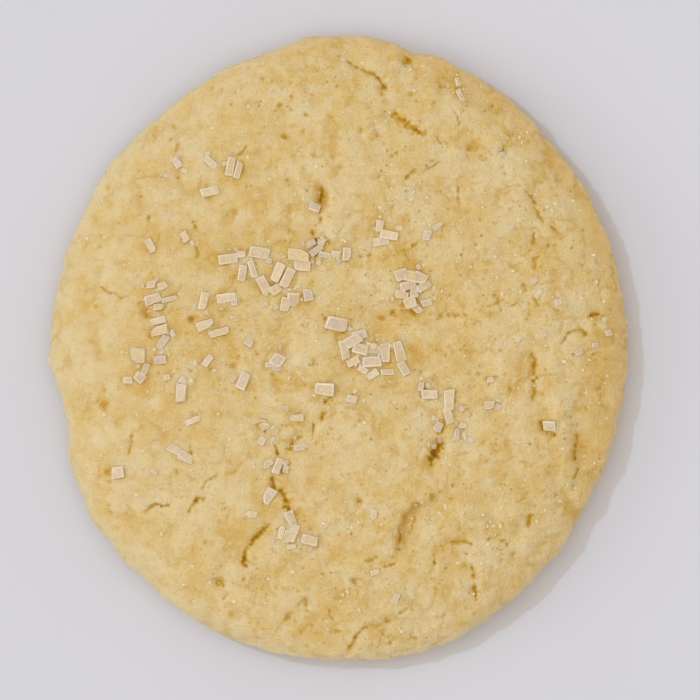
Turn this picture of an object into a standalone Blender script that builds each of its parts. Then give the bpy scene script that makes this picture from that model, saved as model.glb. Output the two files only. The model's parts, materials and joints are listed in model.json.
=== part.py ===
"""A soft lemon sugar cookie: one round of pale, cracked dough with coarse sugar crystals pressed into it.

The cookie rests on its flat base with +Z up, and its longest side runs along +Y. The sizes below are in
millimetres. The finished mesh is scaled to metres.
"""

import math
import random

import bmesh
import bpy
import numpy as np
from mathutils import Matrix, Vector, noise
from mathutils.bvhtree import BVHTree

MM = 0.001
SEED = 11

DOUGH_COLOUR = (0.680, 0.480, 0.215, 1.0)
DOUGH_ROUGHNESS = 0.85

# The edge, seen from above: its distance from the middle every 15 degrees, counter-clockwise from +X.
EDGE_RADII = (
    36.2, 36.1, 36.5, 36.8, 37.9, 38.6, 39.2, 38.1, 36.9, 36.7, 36.3, 36.2,
    36.2, 35.4, 37.3, 37.8, 38.5, 39.1, 39.0, 39.4, 38.5, 37.5, 36.6, 36.0,
)
EDGE_MIDDLE_Y = -0.15

# Notches of the edge: bearing and half width in degrees, depth. A bulge has a depth below zero.
EDGE_NOTCHES = ((76.0, 2.4, 0.60), (194.0, 3.0, 0.10), (202.0, 3.5, -0.45))
CRUMB_DEPTH = 0.20
CRUMB_LENGTH = 2.6
CRUMB_SHIFT = 7.0  # moves the noise of the crumbs, so that it differs from the other noises
CRUMB_START = 0.8  # the edge is crumbly from this share of the radius outward

# The section, from the middle of the top round to the base.
TOP_Z = 9.6
DOME_DROP = 0.8  # how much lower the top would be at its edge than in the middle
RIM_Z = 3.3  # height of the widest ring
BASE_SETBACK = 1.25
SHOULDER_START = 0.82
SHOULDER_POWER = 6.0
SHOULDER_FINENESS = 3  # how much closer together the points get towards the rim
SHOULDER_STEPS = 40
WALL_STEPS = 12

# The dough's mesh.
RINGS_ACROSS = 52
CRACK_REACH = 1.5  # faces this close to a crack are cut once more
TOP_EDGE = 0.04  # the relief of the top fades out over this last share of the radius
BASE_SHARE = 0.999  # points past this share of the section lie at the height of the base

# Swells and knobs of the dough: height and length of each.
SWELLS = ((0.32, 9.0), (0.24, 4.0))
CRACK_RAGGEDNESS = 0.35
CRACK_GRAIN = 1.7
CRACK_SHIFT = 3.0  # moves the noise of the ragged cracks

# Broad hollows of the top: x, y, radius, depth.
HOLLOWS = (
    (-20.4, 21.9, 1.9, 0.40), (-23.6, 20.0, 1.9, 0.30), (-2.3, 18.7, 1.3, 0.60), (5.2, 19.2, 1.2, 0.30),
    (16.3, 24.6, 1.5, 0.45), (19.2, 29.3, 1.7, 0.35), (5.4, 32.2, 1.1, 0.30), (8.5, 35.7, 0.9, 0.60),
    (20.6, 12.1, 1.1, 0.30), (24.4, 13.0, 1.3, 0.25), (6.2, 3.4, 2.4, 0.50), (8.7, 3.8, 1.1, 0.35),
    (2.6, 14.6, 1.8, 0.30), (12.9, 3.8, 0.9, 0.35), (-24.2, 4.2, 0.9, 0.45), (-18.4, 3.4, 0.8, 0.35),
    (-6.6, 3.2, 1.6, 0.35), (-13.3, -2.4, 0.9, 0.30), (-6.6, -0.6, 1.2, 0.30), (1.0, -2.9, 1.2, 0.35),
    (-29.2, -15.8, 1.1, 0.40), (-29.4, -7.3, 0.9, 0.40), (24.1, -6.1, 1.1, 0.55), (26.2, -9.9, 1.7, 0.35),
    (29.8, -13.4, 1.2, 0.55), (31.6, 3.9, 0.9, 0.40), (14.0, -25.8, 2.0, 0.35), (16.7, -30.4, 0.9, 0.40),
    (16.4, -27.8, 0.9, 0.35), (2.4, -19.3, 1.0, 0.30), (-15.0, -29.6, 1.0, 0.55), (-6.5, -33.8, 1.2, 0.35),
    (-0.5, -35.5, 1.0, 0.40), (6.0, -34.2, 0.9, 0.45), (1.8, -29.3, 0.9, 0.35), (-4.2, -31.9, 0.9, 0.30),
)

# Soft round lumps of the top: x, y, radius, height.
LUMPS = (
    (-18.0, 22.3, 1.9, 0.25), (-15.4, 16.7, 1.2, 0.20), (-28.5, 12.0, 1.7, 0.25), (-28.8, 8.2, 1.0, 0.15),
    (-26.8, 3.4, 2.0, 0.20), (-0.9, 16.2, 1.7, 0.35), (-4.2, 1.2, 2.3, 0.35), (-1.8, 22.3, 1.3, 0.20),
    (-7.5, 24.6, 1.5, 0.15), (-16.0, 28.4, 1.2, 0.12), (-13.0, 29.2, 1.1, 0.12), (-3.5, 7.9, 1.6, 0.15),
    (14.5, 24.4, 1.4, 0.35), (19.2, 25.7, 1.2, 0.25), (22.3, 23.4, 1.6, 0.30), (21.8, 21.5, 1.2, 0.20),
    (11.6, 31.6, 1.4, 0.20), (14.0, 26.5, 1.1, 0.20), (7.5, 18.8, 1.3, 0.20), (4.6, 35.4, 1.0, 0.25),
    (4.2, 36.9, 1.3, 0.15), (5.2, 6.4, 1.1, 0.20), (12.0, 10.8, 1.1, 0.15), (25.3, 7.0, 0.9, 0.20),
    (8.5, 33.0, 1.0, 0.15), (2.6, 33.0, 1.5, 0.15), (9.5, 1.5, 1.6, 0.15), (17.5, 20.5, 1.0, 0.12),
    (25.8, 1.6, 1.0, 0.12), (33.5, 2.2, 0.9, 0.20), (-16.8, -6.5, 1.6, 0.20), (-28.8, -12.3, 1.6, 0.15),
    (-22.8, -7.2, 1.0, 0.12), (-21.4, -17.7, 1.0, 0.12), (-2.0, -3.2, 1.4, 0.25), (-4.5, -20.5, 1.0, 0.15),
    (-6.0, -23.0, 1.0, 0.20), (-12.1, -32.3, 1.1, 0.15), (-2.5, -32.3, 1.1, 0.15), (-3.0, -26.8, 1.0, 0.12),
    (-9.0, -26.0, 1.4, 0.12), (-15.5, -13.5, 1.5, 0.10), (-16.6, -27.2, 1.3, 0.10), (-13.0, -20.0, 1.5, 0.10),
    (7.0, -7.7, 1.7, 0.25), (17.3, -9.4, 1.8, 0.25), (17.0, -15.0, 1.7, 0.20), (6.3, -22.0, 1.2, 0.30),
    (8.2, -19.4, 0.9, 0.15), (13.0, -22.0, 2.4, 0.20), (18.8, -27.0, 2.6, 0.30), (21.3, -21.2, 1.7, 0.20),
    (27.8, -7.7, 1.1, 0.40), (27.6, -10.6, 1.0, 0.30), (23.6, -12.1, 1.1, 0.20), (10.4, -27.0, 1.1, 0.20),
    (22.8, -24.6, 1.2, 0.15), (15.8, -7.0, 1.2, 0.15), (26.4, -2.3, 1.4, 0.12), (10.0, -13.5, 1.2, 0.15),
    (1.5, -33.0, 1.2, 0.10), (9.0, -30.0, 1.5, 0.10), (26.3, -22.7, 1.0, 0.15), (21.5, -7.5, 1.5, 0.12),
)
LUMP_FLATNESS = 3.0  # the higher, the flatter a lump's top and the steeper its side

# Cracks of the top: half width, depth, then the points along it.
CRACKS = (
    (0.70, 0.65, ((-8.5, -16.4), (-8.2, -17.5), (-7.2, -18.4), (-6.8, -19.4), (-6.6, -20.4))),
    (0.80, 0.80, ((-8.8, -21.8), (-9.3, -22.9), (-10.6, -23.9), (-11.5, -25.1), (-12.0, -26.6),
                  (-11.9, -27.5))),
    (0.65, 0.40, ((-24.3, -20.7), (-23.0, -19.8), (-22.0, -20.1), (-21.1, -19.9))),
    (0.65, 0.50, ((-18.8, -20.8), (-18.1, -19.5), (-17.2, -18.8), (-16.8, -17.4), (-16.2, -16.5),
                  (-15.0, -16.0))),
    (0.90, 1.40, ((12.7, -11.9), (12.2, -12.9), (11.8, -13.9), (11.3, -14.9))),
    (0.70, 0.60, ((23.8, -0.9), (24.4, -2.2), (24.3, -3.4), (24.4, -4.7))),
    (0.70, 0.45, ((12.3, -24.2), (14.2, -24.5), (15.6, -24.4), (17.2, -24.4), (18.8, -24.0), (20.2, -23.4))),
    (0.70, 0.55, ((-0.9, 35.9), (1.0, 35.8), (2.1, 35.1), (3.4, 34.4), (4.6, 33.9), (5.1, 33.2),
                  (5.7, 32.2))),
    (0.85, 0.50, ((6.4, 29.0), (8.3, 27.8), (10.3, 26.4))),
    (0.65, 0.50, ((-2.6, 20.2), (-2.2, 19.0), (-2.4, 17.9), (-2.3, 16.6), (-2.4, 15.4), (-3.3, 14.2),
                  (-2.8, 13.2))),
    (0.65, 0.40, ((23.9, 18.9), (24.5, 17.9), (24.8, 16.7), (25.4, 15.6))),
    (0.65, 0.35, ((26.3, 15.0), (27.1, 14.3), (27.9, 13.8))),
    (0.65, 0.35, ((27.6, 0.3), (28.3, 1.2), (29.3, 2.1), (30.4, 2.2), (30.8, 1.3))),
    (0.65, 0.40, ((1.0, -38.0), (1.7, -36.8), (2.4, -35.8), (3.6, -34.9), (5.2, -34.9))),
    (0.65, 0.35, ((-29.8, 7.3), (-28.5, 6.4), (-27.1, 6.0), (-26.0, 6.4))),
    (0.65, 0.40, ((-1.0, -6.0), (-1.8, -7.0), (-2.2, -9.0), (-3.3, -10.1), (-5.0, -11.2), (-6.2, -12.7),
                  (-7.8, -13.3))),
)

# Steps of the top, lower on the right of the line: drop, how far the lower side runs, then the points.
STEPS = (
    (1.20, 6.0, ((6.6, -26.6), (7.1, -25.2), (7.3, -23.7), (7.6, -22.2), (8.2, -20.9), (9.2, -19.9),
                 (10.7, -19.5), (12.0, -18.6), (13.2, -17.4))),
    (0.50, 4.0, ((28.2, -19.0), (29.3, -17.4), (29.6, -15.8), (29.4, -14.0), (29.2, -12.4), (29.1, -10.9),
                 (28.6, -9.4), (29.2, -7.4))),
    (0.45, 2.5, ((-9.8, 12.2), (-8.9, 12.8), (-7.6, 13.2), (-6.2, 13.2), (-4.8, 12.8))),
    (0.35, 2.5, ((-14.6, 12.0), (-13.0, 12.3), (-11.6, 12.7))),
    (0.40, 3.0, ((22.8, 15.0), (24.0, 17.6), (24.2, 20.0), (23.4, 22.6))),
)
STEP_WIDTH = 0.38
STEP_LIP = 0.28  # how far the high side swells up beside a step, as a share of the drop
LIP_WIDTH = 1.5
STEP_TAPER = 0.6  # below 1, a step keeps its drop almost to its ends

# The coarse crystals: x, y, length, width, heading in degrees.
CRYSTALS = (
    (-20.3, 23.0, 1.3, 0.8, 122), (-16.1, 23.0, 1.9, 0.9, -40), (-13.6, 22.4, 2.3, 1.1, 80),
    (-12.7, 22.0, 2.1, 0.9, 75), (-16.3, 19.3, 2.2, 1.2, 14), (-23.6, 12.6, 1.8, 0.9, 115),
    (-19.3, 13.7, 1.3, 0.8, -60), (-23.5, 7.7, 1.1, 0.9, 0), (-22.1, 7.6, 1.2, 0.9, 30),
    (-23.3, 5.9, 2.1, 1.1, 18), (-21.3, 5.9, 1.9, 0.7, 14), (-22.6, 4.9, 1.3, 0.8, 0),
    (-22.7, 3.2, 2.0, 0.9, 12), (-22.4, 1.9, 2.1, 1.2, 12), (-22.1, 0.6, 1.8, 1.0, 55),
    (-20.9, 1.6, 1.0, 0.6, 110), (-25.2, -1.1, 2.0, 1.6, 0), (-24.3, -2.9, 1.6, 0.8, 70),
    (-26.5, -4.2, 1.1, 1.0, 0), (-25.0, -3.9, 1.5, 1.2, -40), (-22.4, -1.6, 1.4, 1.1, 10),
    (-21.6, -3.9, 0.9, 0.7, 20), (-19.6, -4.2, 1.1, 0.9, 70), (-19.8, -5.8, 2.2, 1.4, 88),
    (-17.0, 5.7, 2.2, 1.1, 75), (-16.8, 2.7, 2.0, 1.1, 20), (-14.2, 6.1, 2.4, 1.1, 10),
    (-13.1, 5.7, 1.4, 0.7, 85), (-15.0, 1.7, 2.4, 0.9, 15), (-11.3, 0.4, 1.1, 0.9, -30),
    (-16.4, -1.8, 1.6, 0.9, 52), (-12.1, -4.3, 2.1, 1.2, 68), (-7.8, -1.8, 1.7, 1.4, 60),
    (-8.7, -2.3, 1.2, 0.7, 0), (-14.0, 10.9, 2.4, 1.3, 10), (-12.3, 11.5, 1.1, 1.0, 0),
    (-10.1, 11.6, 2.6, 1.3, -8), (-12.2, 9.2, 1.9, 1.1, 82), (-10.9, 9.6, 2.1, 1.0, 108),
    (-9.5, 7.7, 2.3, 1.2, 117), (-7.7, 9.3, 2.4, 1.1, 66), (-6.5, 8.6, 2.6, 1.2, 60),
    (-8.0, 7.1, 1.5, 1.1, 30), (-5.2, 11.4, 2.6, 1.4, -2), (-4.7, 10.0, 2.1, 1.2, -6),
    (-2.9, 12.0, 1.9, 0.8, 36), (-3.7, 12.8, 1.2, 0.9, 30), (-2.3, 12.9, 1.0, 0.7, -20),
    (-1.8, 11.4, 1.6, 0.8, -10), (-0.5, 11.6, 1.1, 0.8, 0), (0.9, 11.5, 1.7, 1.1, 90),
    (-6.8, 5.3, 1.8, 1.1, 75), (-5.8, 5.9, 1.9, 1.4, 90), (-3.9, 6.4, 1.5, 1.1, 100),
    (-3.1, 17.3, 1.4, 1.0, -20), (-0.4, 2.8, 2.7, 1.6, -15), (5.0, 15.0, 1.4, 0.9, 80),
    (6.3, 13.9, 2.3, 1.1, -10), (5.2, 13.1, 1.9, 0.9, 8), (11.0, 13.8, 1.3, 0.9, 85),
    (12.3, 15.0, 1.4, 0.6, 38), (15.2, 31.2, 2.0, 0.7, -64), (14.7, 33.0, 1.1, 0.6, -80),
    (7.8, 9.0, 1.7, 1.2, 20), (9.0, 8.7, 2.0, 1.3, -10), (10.0, 8.5, 1.7, 1.2, -25),
    (8.5, 7.6, 1.9, 1.1, 15), (10.5, 7.5, 1.8, 1.0, 35), (9.4, 7.0, 1.5, 1.0, 80),
    (7.8, 6.4, 1.7, 0.9, -10), (8.8, 5.4, 1.6, 1.3, 20), (9.7, 4.8, 1.4, 0.9, -40),
    (10.9, 5.4, 1.3, 0.8, 20), (0.6, -0.4, 2.3, 1.1, 100), (1.7, 0.7, 2.0, 1.3, 30),
    (2.5, 1.5, 1.8, 1.1, 15), (2.6, -0.3, 1.8, 1.4, -20), (4.0, -1.9, 2.5, 1.5, 0),
    (4.2, -0.3, 2.0, 1.2, -12), (5.7, -0.9, 2.4, 1.2, 92), (7.4, -0.7, 2.6, 1.2, 105),
    (8.0, -2.8, 1.9, 1.1, 118), (5.9, -3.2, 1.7, 0.8, 5), (1.7, -1.9, 1.7, 1.0, 20),
    (4.2, -3.5, 1.5, 0.8, 35), (2.9, -2.9, 1.3, 0.8, -35), (-1.9, -5.2, 2.5, 1.6, 0),
    (1.5, -6.6, 1.3, 0.9, -15), (10.2, -5.0, 1.1, 0.7, 85), (11.3, -6.1, 2.1, 1.1, 2),
    (13.7, -6.6, 2.4, 1.2, 88), (13.7, -8.6, 2.0, 1.0, 104), (12.4, -10.0, 1.2, 0.9, 60),
    (12.5, -11.6, 1.0, 0.6, 85), (14.7, -11.0, 1.6, 0.7, 80), (18.8, -7.3, 1.1, 0.9, 0),
    (-5.3, -8.9, 1.8, 0.8, 0), (-9.3, -9.8, 1.2, 1.0, 30), (-9.6, -11.8, 1.2, 0.9, 60),
    (-5.0, -12.7, 1.4, 0.7, 5), (-7.8, -14.9, 2.0, 1.0, 68), (-8.8, -14.6, 1.0, 0.7, 30),
    (-8.9, -18.7, 2.1, 1.3, 60), (-6.1, -21.5, 2.0, 1.0, 112), (-7.3, -23.3, 1.6, 0.9, 78),
    (-6.5, -23.7, 1.6, 0.8, 75), (-5.7, -23.4, 2.2, 0.9, 68), (-3.8, -24.2, 2.1, 1.2, -14),
    (-27.6, -15.8, 1.7, 1.5, 10), (-20.6, -12.9, 1.7, 1.0, -30), (-19.3, -13.8, 1.9, 1.0, -25),
    (-18.4, -9.3, 1.8, 0.7, 25), (26.2, -9.8, 1.4, 1.2, 0),
)
CRYSTAL_THICKNESS = 0.78  # as a share of its width
CRYSTAL_SUNK = (0.48, 0.68)  # least and most share of its thickness that is below the dough
CRYSTAL_STACK = 0.30  # how much higher a crystal lies on one already there
CRYSTAL_ROOT = 0.30  # how far a crystal reaches down past its own thickness
CRYSTAL_TILT = 7.0
CRYSTAL_TAPER = 0.80
CRYSTAL_RAGGED = 0.07
MOST_STACKED = 2
TOUCHING = 0.45  # crystals lie on each other when their middles are closer than this share of both widths
SMOOTH_UNDER = 35.0  # degrees between faces that are shaded as one


def clear_scene():
    """Remove every object, so that the file holds only the cookie."""
    for item in list(bpy.data.objects):
        bpy.data.objects.remove(item, do_unlink=True)


def new_collection(name):
    """A collection linked to the scene."""
    collection = bpy.data.collections.new(name)
    bpy.context.scene.collection.children.link(collection)
    return collection


def dough_material():
    """Pale yellow, matt baked dough."""
    material = bpy.data.materials.new("lemon_dough")
    material.use_nodes = True
    shader = material.node_tree.nodes["Principled BSDF"]
    shader.inputs["Base Color"].default_value = DOUGH_COLOUR
    shader.inputs["Roughness"].default_value = DOUGH_ROUGHNESS
    shader.inputs["Metallic"].default_value = 0.0
    return material


def edge_radius(bearing):
    """Distance of the edge from its middle at each bearing: a smooth closed curve through the radii."""
    radii = np.array(EDGE_RADII)
    count = len(radii)
    place = np.mod(bearing / (2 * math.pi), 1.0) * count
    start = np.floor(place).astype(int)
    part = place - start
    a, b, c, d = (radii[(start + step) % count] for step in (-1, 0, 1, 2))
    radius = b + 0.5 * part * (c - a + part * (2 * a - 5 * b + 4 * c - d + part * (3 * (b - c) + d - a)))
    for middle, half_width, depth in EDGE_NOTCHES:
        away = np.mod(np.degrees(bearing) - middle + 180.0, 360.0) - 180.0
        radius = radius - depth * np.exp(-((away / half_width) ** 2))
    return radius


def disc_place(u, v):
    """Share of the way out and bearing of each point of a square, whose square rings turn into circles."""
    sideways = np.abs(u) > np.abs(v)
    reach = np.where(sideways, u, v)
    slant = np.where(sideways, v, u) / np.where(reach == 0.0, 1.0, reach)
    bearing = np.where(sideways, slant * math.pi / 4, math.pi / 2 - slant * math.pi / 4)
    return np.abs(reach), np.where(reach < 0.0, bearing + math.pi, bearing)


def section():
    """The section as columns: share of its length, reach as a share of the radius, height, and the normal."""
    flat = np.linspace(0.0, SHOULDER_START, SHOULDER_STEPS)
    bend = 1.0 - (1.0 - SHOULDER_START) * np.linspace(1.0, 0.0, SHOULDER_STEPS)[1:] ** SHOULDER_FINENESS
    reach = np.concatenate([flat, bend])
    top = TOP_Z - RIM_Z - DOME_DROP * reach**2
    height = RIM_Z + top * np.sqrt(np.maximum(0.0, 1.0 - reach**SHOULDER_POWER))
    down = np.linspace(0.0, 1.0, WALL_STEPS)[1:]
    mean_radius = sum(EDGE_RADII) / len(EDGE_RADII)
    out = np.concatenate([reach * mean_radius, mean_radius - BASE_SETBACK * down**2])
    up = np.concatenate([height, RIM_Z * (1.0 - down)])
    length = np.concatenate([[0.0], np.cumsum(np.hypot(np.diff(out), np.diff(up)))])
    slope_out, slope_up = np.gradient(out, length), np.gradient(up, length)
    size = np.hypot(slope_out, slope_up)
    return length / length[-1], out / mean_radius, up, -slope_up / size, slope_out / size


def along_line(line, x, y):
    """Each point's distance from a bent line, its side (1 on the right), and the share of the line passed."""
    gap = np.full(x.shape, np.inf)
    side, share = np.zeros(x.shape), np.zeros(x.shape)
    pieces = len(line) - 1
    for index, ((x0, y0), (x1, y1)) in enumerate(zip(line, line[1:])):
        dx, dy = x1 - x0, y1 - y0
        along = np.clip(((x - x0) * dx + (y - y0) * dy) / (dx * dx + dy * dy), 0.0, 1.0)
        here = np.hypot(x - x0 - along * dx, y - y0 - along * dy)
        nearer = here < gap
        gap = np.where(nearer, here, gap)
        side = np.where(nearer, np.sign(dy * (x - x0) - dx * (y - y0)), side)
        share = np.where(nearer, (index + along) / pieces, share)
    return gap, side, share


def smooth_step(value):
    """A smooth rise from 0 to 1."""
    value = np.clip(value, 0.0, 1.0)
    return value * value * (3.0 - 2.0 * value)


def noise_at(points, length, offset=0.0):
    """Noise of this length at each point."""
    shift = Vector((offset, offset, offset))
    return np.array([noise.noise(Vector(point) / length + shift) for point in points])


def raised(x, y):
    """How far the top swells up at each point by its lumps."""
    height = np.zeros(x.shape)
    for middle_x, middle_y, radius, highest in LUMPS:
        away = np.hypot(x - middle_x, y - middle_y) / radius
        height = np.maximum(height, highest * np.exp(-(away**LUMP_FLATNESS)))
    return height


def lowered(x, y, ragged):
    """How far the top is pressed down at each point by its hollows, cracks and steps."""
    depth = np.zeros(x.shape)
    for middle_x, middle_y, radius, deepest in HOLLOWS:
        away = np.hypot(x - middle_x, y - middle_y) / radius
        depth += deepest * np.exp(-(away**2)) * (1.0 + CRACK_RAGGEDNESS * ragged)
    for half_width, deepest, line in CRACKS:
        gap, _, _ = along_line(line, x, y)
        depth += deepest * np.exp(-((gap / half_width) ** 2)) * (1.0 + CRACK_RAGGEDNESS * ragged)
    for drop, run, line in STEPS:
        gap, side, share = along_line(line, x, y)
        lower_side = side * gap
        across = smooth_step((lower_side + STEP_WIDTH) / (2.0 * STEP_WIDTH))
        fading = (1.0 - np.clip(lower_side / run, 0.0, 1.0)) ** 2
        ends = np.sin(math.pi * share) ** STEP_TAPER
        lip = STEP_LIP * np.exp(-(((lower_side + LIP_WIDTH) / LIP_WIDTH) ** 2))
        depth += drop * ends * (across * fading - lip)
    return depth


def dough_points(u, v):
    """Where each point of the square lies on the dough, from the middle of the top round to the base."""
    share, bearing = disc_place(u, v)
    length, reach, height, normal_out, normal_up = section()
    out, up = np.interp(share, length, reach), np.interp(share, length, height)
    facing_out, facing_up = np.interp(share, length, normal_out), np.interp(share, length, normal_up)
    radius = edge_radius(bearing)
    x, y = out * radius * np.cos(bearing), out * radius * np.sin(bearing) + EDGE_MIDDLE_Y
    flat = np.stack([x, y, up], axis=1)
    swell = sum(size * noise_at(flat, length_of_it) for size, length_of_it in SWELLS)
    crumbly = smooth_step((out - CRUMB_START) / (1.0 - CRUMB_START))
    swell += CRUMB_DEPTH * noise_at(flat, CRUMB_LENGTH, CRUMB_SHIFT) * crumbly + raised(x, y)
    on_top = smooth_step((1.0 - out) / TOP_EDGE)
    z = up + facing_up * swell - on_top * lowered(x, y, noise_at(flat, CRACK_GRAIN, CRACK_SHIFT))
    x, y = x + facing_out * swell * np.cos(bearing), y + facing_out * swell * np.sin(bearing)
    return np.stack([x, y, np.where(share > BASE_SHARE, 0.0, np.maximum(z, 0.0))], axis=1)


def split_near_cracks(bm):
    """Cut the faces near each crack and step once more, so that these have enough points to show."""
    edges = list(bm.edges)
    middles = np.array([(edge.verts[0].co + edge.verts[1].co) / 2 for edge in edges])
    share, bearing = disc_place(middles[:, 0], middles[:, 1])
    length, reach, _, _, _ = section()
    out = np.interp(share, length, reach) * edge_radius(bearing)
    x, y = out * np.cos(bearing), out * np.sin(bearing) + EDGE_MIDDLE_Y
    lines = [line for _, _, line in CRACKS + STEPS]
    close = np.min([along_line(line, x, y)[0] for line in lines], axis=0) < CRACK_REACH
    near = [edge for edge, chosen in zip(edges, close) if chosen]
    bmesh.ops.subdivide_edges(bm, edges=near, cuts=1, use_grid_fill=True)


def build_dough():
    """The dough as one closed mesh: a grid wrapped over the top and the wall, with a flat base."""
    bm = bmesh.new()
    bmesh.ops.create_grid(bm, x_segments=RINGS_ACROSS, y_segments=RINGS_ACROSS, size=1.0)
    split_near_cracks(bm)
    flat = np.array([vert.co for vert in bm.verts])
    for vert, place in zip(bm.verts, dough_points(flat[:, 0], flat[:, 1])):
        vert.co = place
    rim = [edge for edge in bm.edges if edge.is_boundary]
    bmesh.ops.contextual_create(bm, geom=rim)
    bmesh.ops.triangulate(bm, faces=bm.faces, quad_method="BEAUTY", ngon_method="BEAUTY")
    bmesh.ops.recalc_face_normals(bm, faces=bm.faces)
    return bm


def crystal_mesh(length, width, height, draw):
    """One crystal: a block with its four top edges cut back and its corners slightly out of true."""
    bm = bmesh.new()
    bmesh.ops.create_cube(bm, size=1.0)
    top = [vert for vert in bm.verts if vert.co.z > 0.0]
    bmesh.ops.scale(bm, verts=top, vec=(CRYSTAL_TAPER, CRYSTAL_TAPER, 1.0))
    bmesh.ops.scale(bm, verts=bm.verts, vec=(length, width, height))
    for vert in bm.verts:
        vert.co += Vector([draw.uniform(-1.0, 1.0) * CRYSTAL_RAGGED * size for size in (length, width, 0.0)])
    return bm


def place_crystal(crystal, surface, laid, draw):
    """Build one crystal and lay it on the dough, higher where it lies on crystals that are already there."""
    x, y, length, width, heading = crystal
    hit, normal, _, _ = surface.ray_cast(Vector((x, y, 2.0 * TOP_Z)), Vector((0.0, 0.0, -1.0)))
    under = sum(math.hypot(x - other[0], y - other[1]) < TOUCHING * (width + other[3]) for other in laid)
    crowd = min(under, MOST_STACKED)
    thickness = width * CRYSTAL_THICKNESS
    sunk = draw.uniform(*CRYSTAL_SUNK) * thickness
    root = CRYSTAL_ROOT + crowd * CRYSTAL_STACK
    top = thickness - sunk + crowd * CRYSTAL_STACK
    height = thickness + root
    bm = crystal_mesh(length, width, height, draw)
    lean = Vector((0.0, 0.0, 1.0)).rotation_difference(normal).to_matrix().to_4x4()
    tilt = math.radians(CRYSTAL_TILT)
    wobble = Matrix.Rotation(draw.uniform(-tilt, tilt), 4, "X")
    wobble = wobble @ Matrix.Rotation(draw.uniform(-tilt, tilt), 4, "Y")
    turn = Matrix.Rotation(math.radians(heading), 4, "Z")
    drop = Matrix.Translation((0.0, 0.0, top - height / 2))
    bm.transform(Matrix.Translation(hit) @ lean @ wobble @ turn @ drop)
    return bm


def add_mesh(name, bm, collection):
    """Turn the working mesh into an object of the collection."""
    mesh = bpy.data.meshes.new(name)
    bm.to_mesh(mesh)
    bm.free()
    item = bpy.data.objects.new(name, mesh)
    collection.objects.link(item)
    return item


def lay_crystals(dough, collection):
    """Lay every crystal on the dough as an object of its own, the largest first."""
    surface = BVHTree.FromBMesh(dough)
    draw = random.Random(SEED)
    laid = []
    for number, crystal in enumerate(sorted(CRYSTALS, key=lambda row: -row[2] * row[3])):
        block = add_mesh(f"crystal_{number:03d}", place_crystal(crystal, surface, laid, draw), collection)
        block.hide_render = True
        block.display_type = "WIRE"
        laid.append(crystal)


def fuse(cookie, crystals):
    """Join the crystals to the dough with one union, apply it, and remove the loose crystals."""
    union = cookie.modifiers.new("crystals", "BOOLEAN")
    union.operation = "UNION"
    union.operand_type = "COLLECTION"
    union.collection = crystals
    union.solver = "EXACT"
    graph = bpy.context.evaluated_depsgraph_get()
    joined = bpy.data.meshes.new_from_object(cookie.evaluated_get(graph))
    cookie.modifiers.clear()
    cookie.data = joined
    for item in list(crystals.objects):
        bpy.data.objects.remove(item, do_unlink=True)
    bpy.data.collections.remove(crystals)


def largest_island(bm):
    """The faces of the largest connected shell."""
    unseen, largest = set(bm.faces), []
    while unseen:
        island, border = [], [unseen.pop()]
        while border:
            face = border.pop()
            island.append(face)
            for edge in face.edges:
                fresh = [other for other in edge.link_faces if other in unseen]
                unseen.difference_update(fresh)
                border.extend(fresh)
        largest = max(largest, island, key=len)
    return largest


def finish(cookie):
    """Drop loose scraps and sealed hollows, centre the cookie on its base and scale it to metres."""
    bm = bmesh.new()
    bm.from_mesh(cookie.data)
    kept = set(largest_island(bm))
    bmesh.ops.delete(bm, geom=[face for face in bm.faces if face not in kept], context="FACES")
    places = np.array([vert.co for vert in bm.verts])
    low, high = places.min(axis=0), places.max(axis=0)
    middle = Vector((-(low[0] + high[0]) / 2, -(low[1] + high[1]) / 2, -low[2]))
    bmesh.ops.translate(bm, verts=bm.verts, vec=middle)
    bmesh.ops.scale(bm, verts=bm.verts, vec=(MM, MM, MM))
    bm.to_mesh(cookie.data)
    bm.free()
    cookie.data.shade_smooth()
    cookie.data.set_sharp_from_angle(angle=math.radians(SMOOTH_UNDER))
    cookie.data.materials.clear()
    cookie.data.materials.append(dough_material())


def main():
    """Build the cookie."""
    clear_scene()
    parts, crystals = new_collection("lemon_cookie"), new_collection("crystals")
    crystals.hide_render = True
    dough = build_dough()
    lay_crystals(dough, crystals)
    cookie = add_mesh("cookie", dough, parts)
    fuse(cookie, crystals)
    finish(cookie)


main()
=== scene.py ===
"""A soft lemon sugar cookie with coarse sugar crystals, seen from straight above on a pale floor.

The dough, the coarse crystals and the fine sugar are shaped in millimetres about the middle of the base.
One matrix then fits them all into the box of the solid model, in metres.
"""

import json
import logging
import math
import random
from collections.abc import Iterable, Sequence
from dataclasses import dataclass
from enum import Enum

import bmesh
import bpy
import numpy as np
from mathutils import Matrix, Vector, noise
from mathutils.bvhtree import BVHTree

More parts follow.
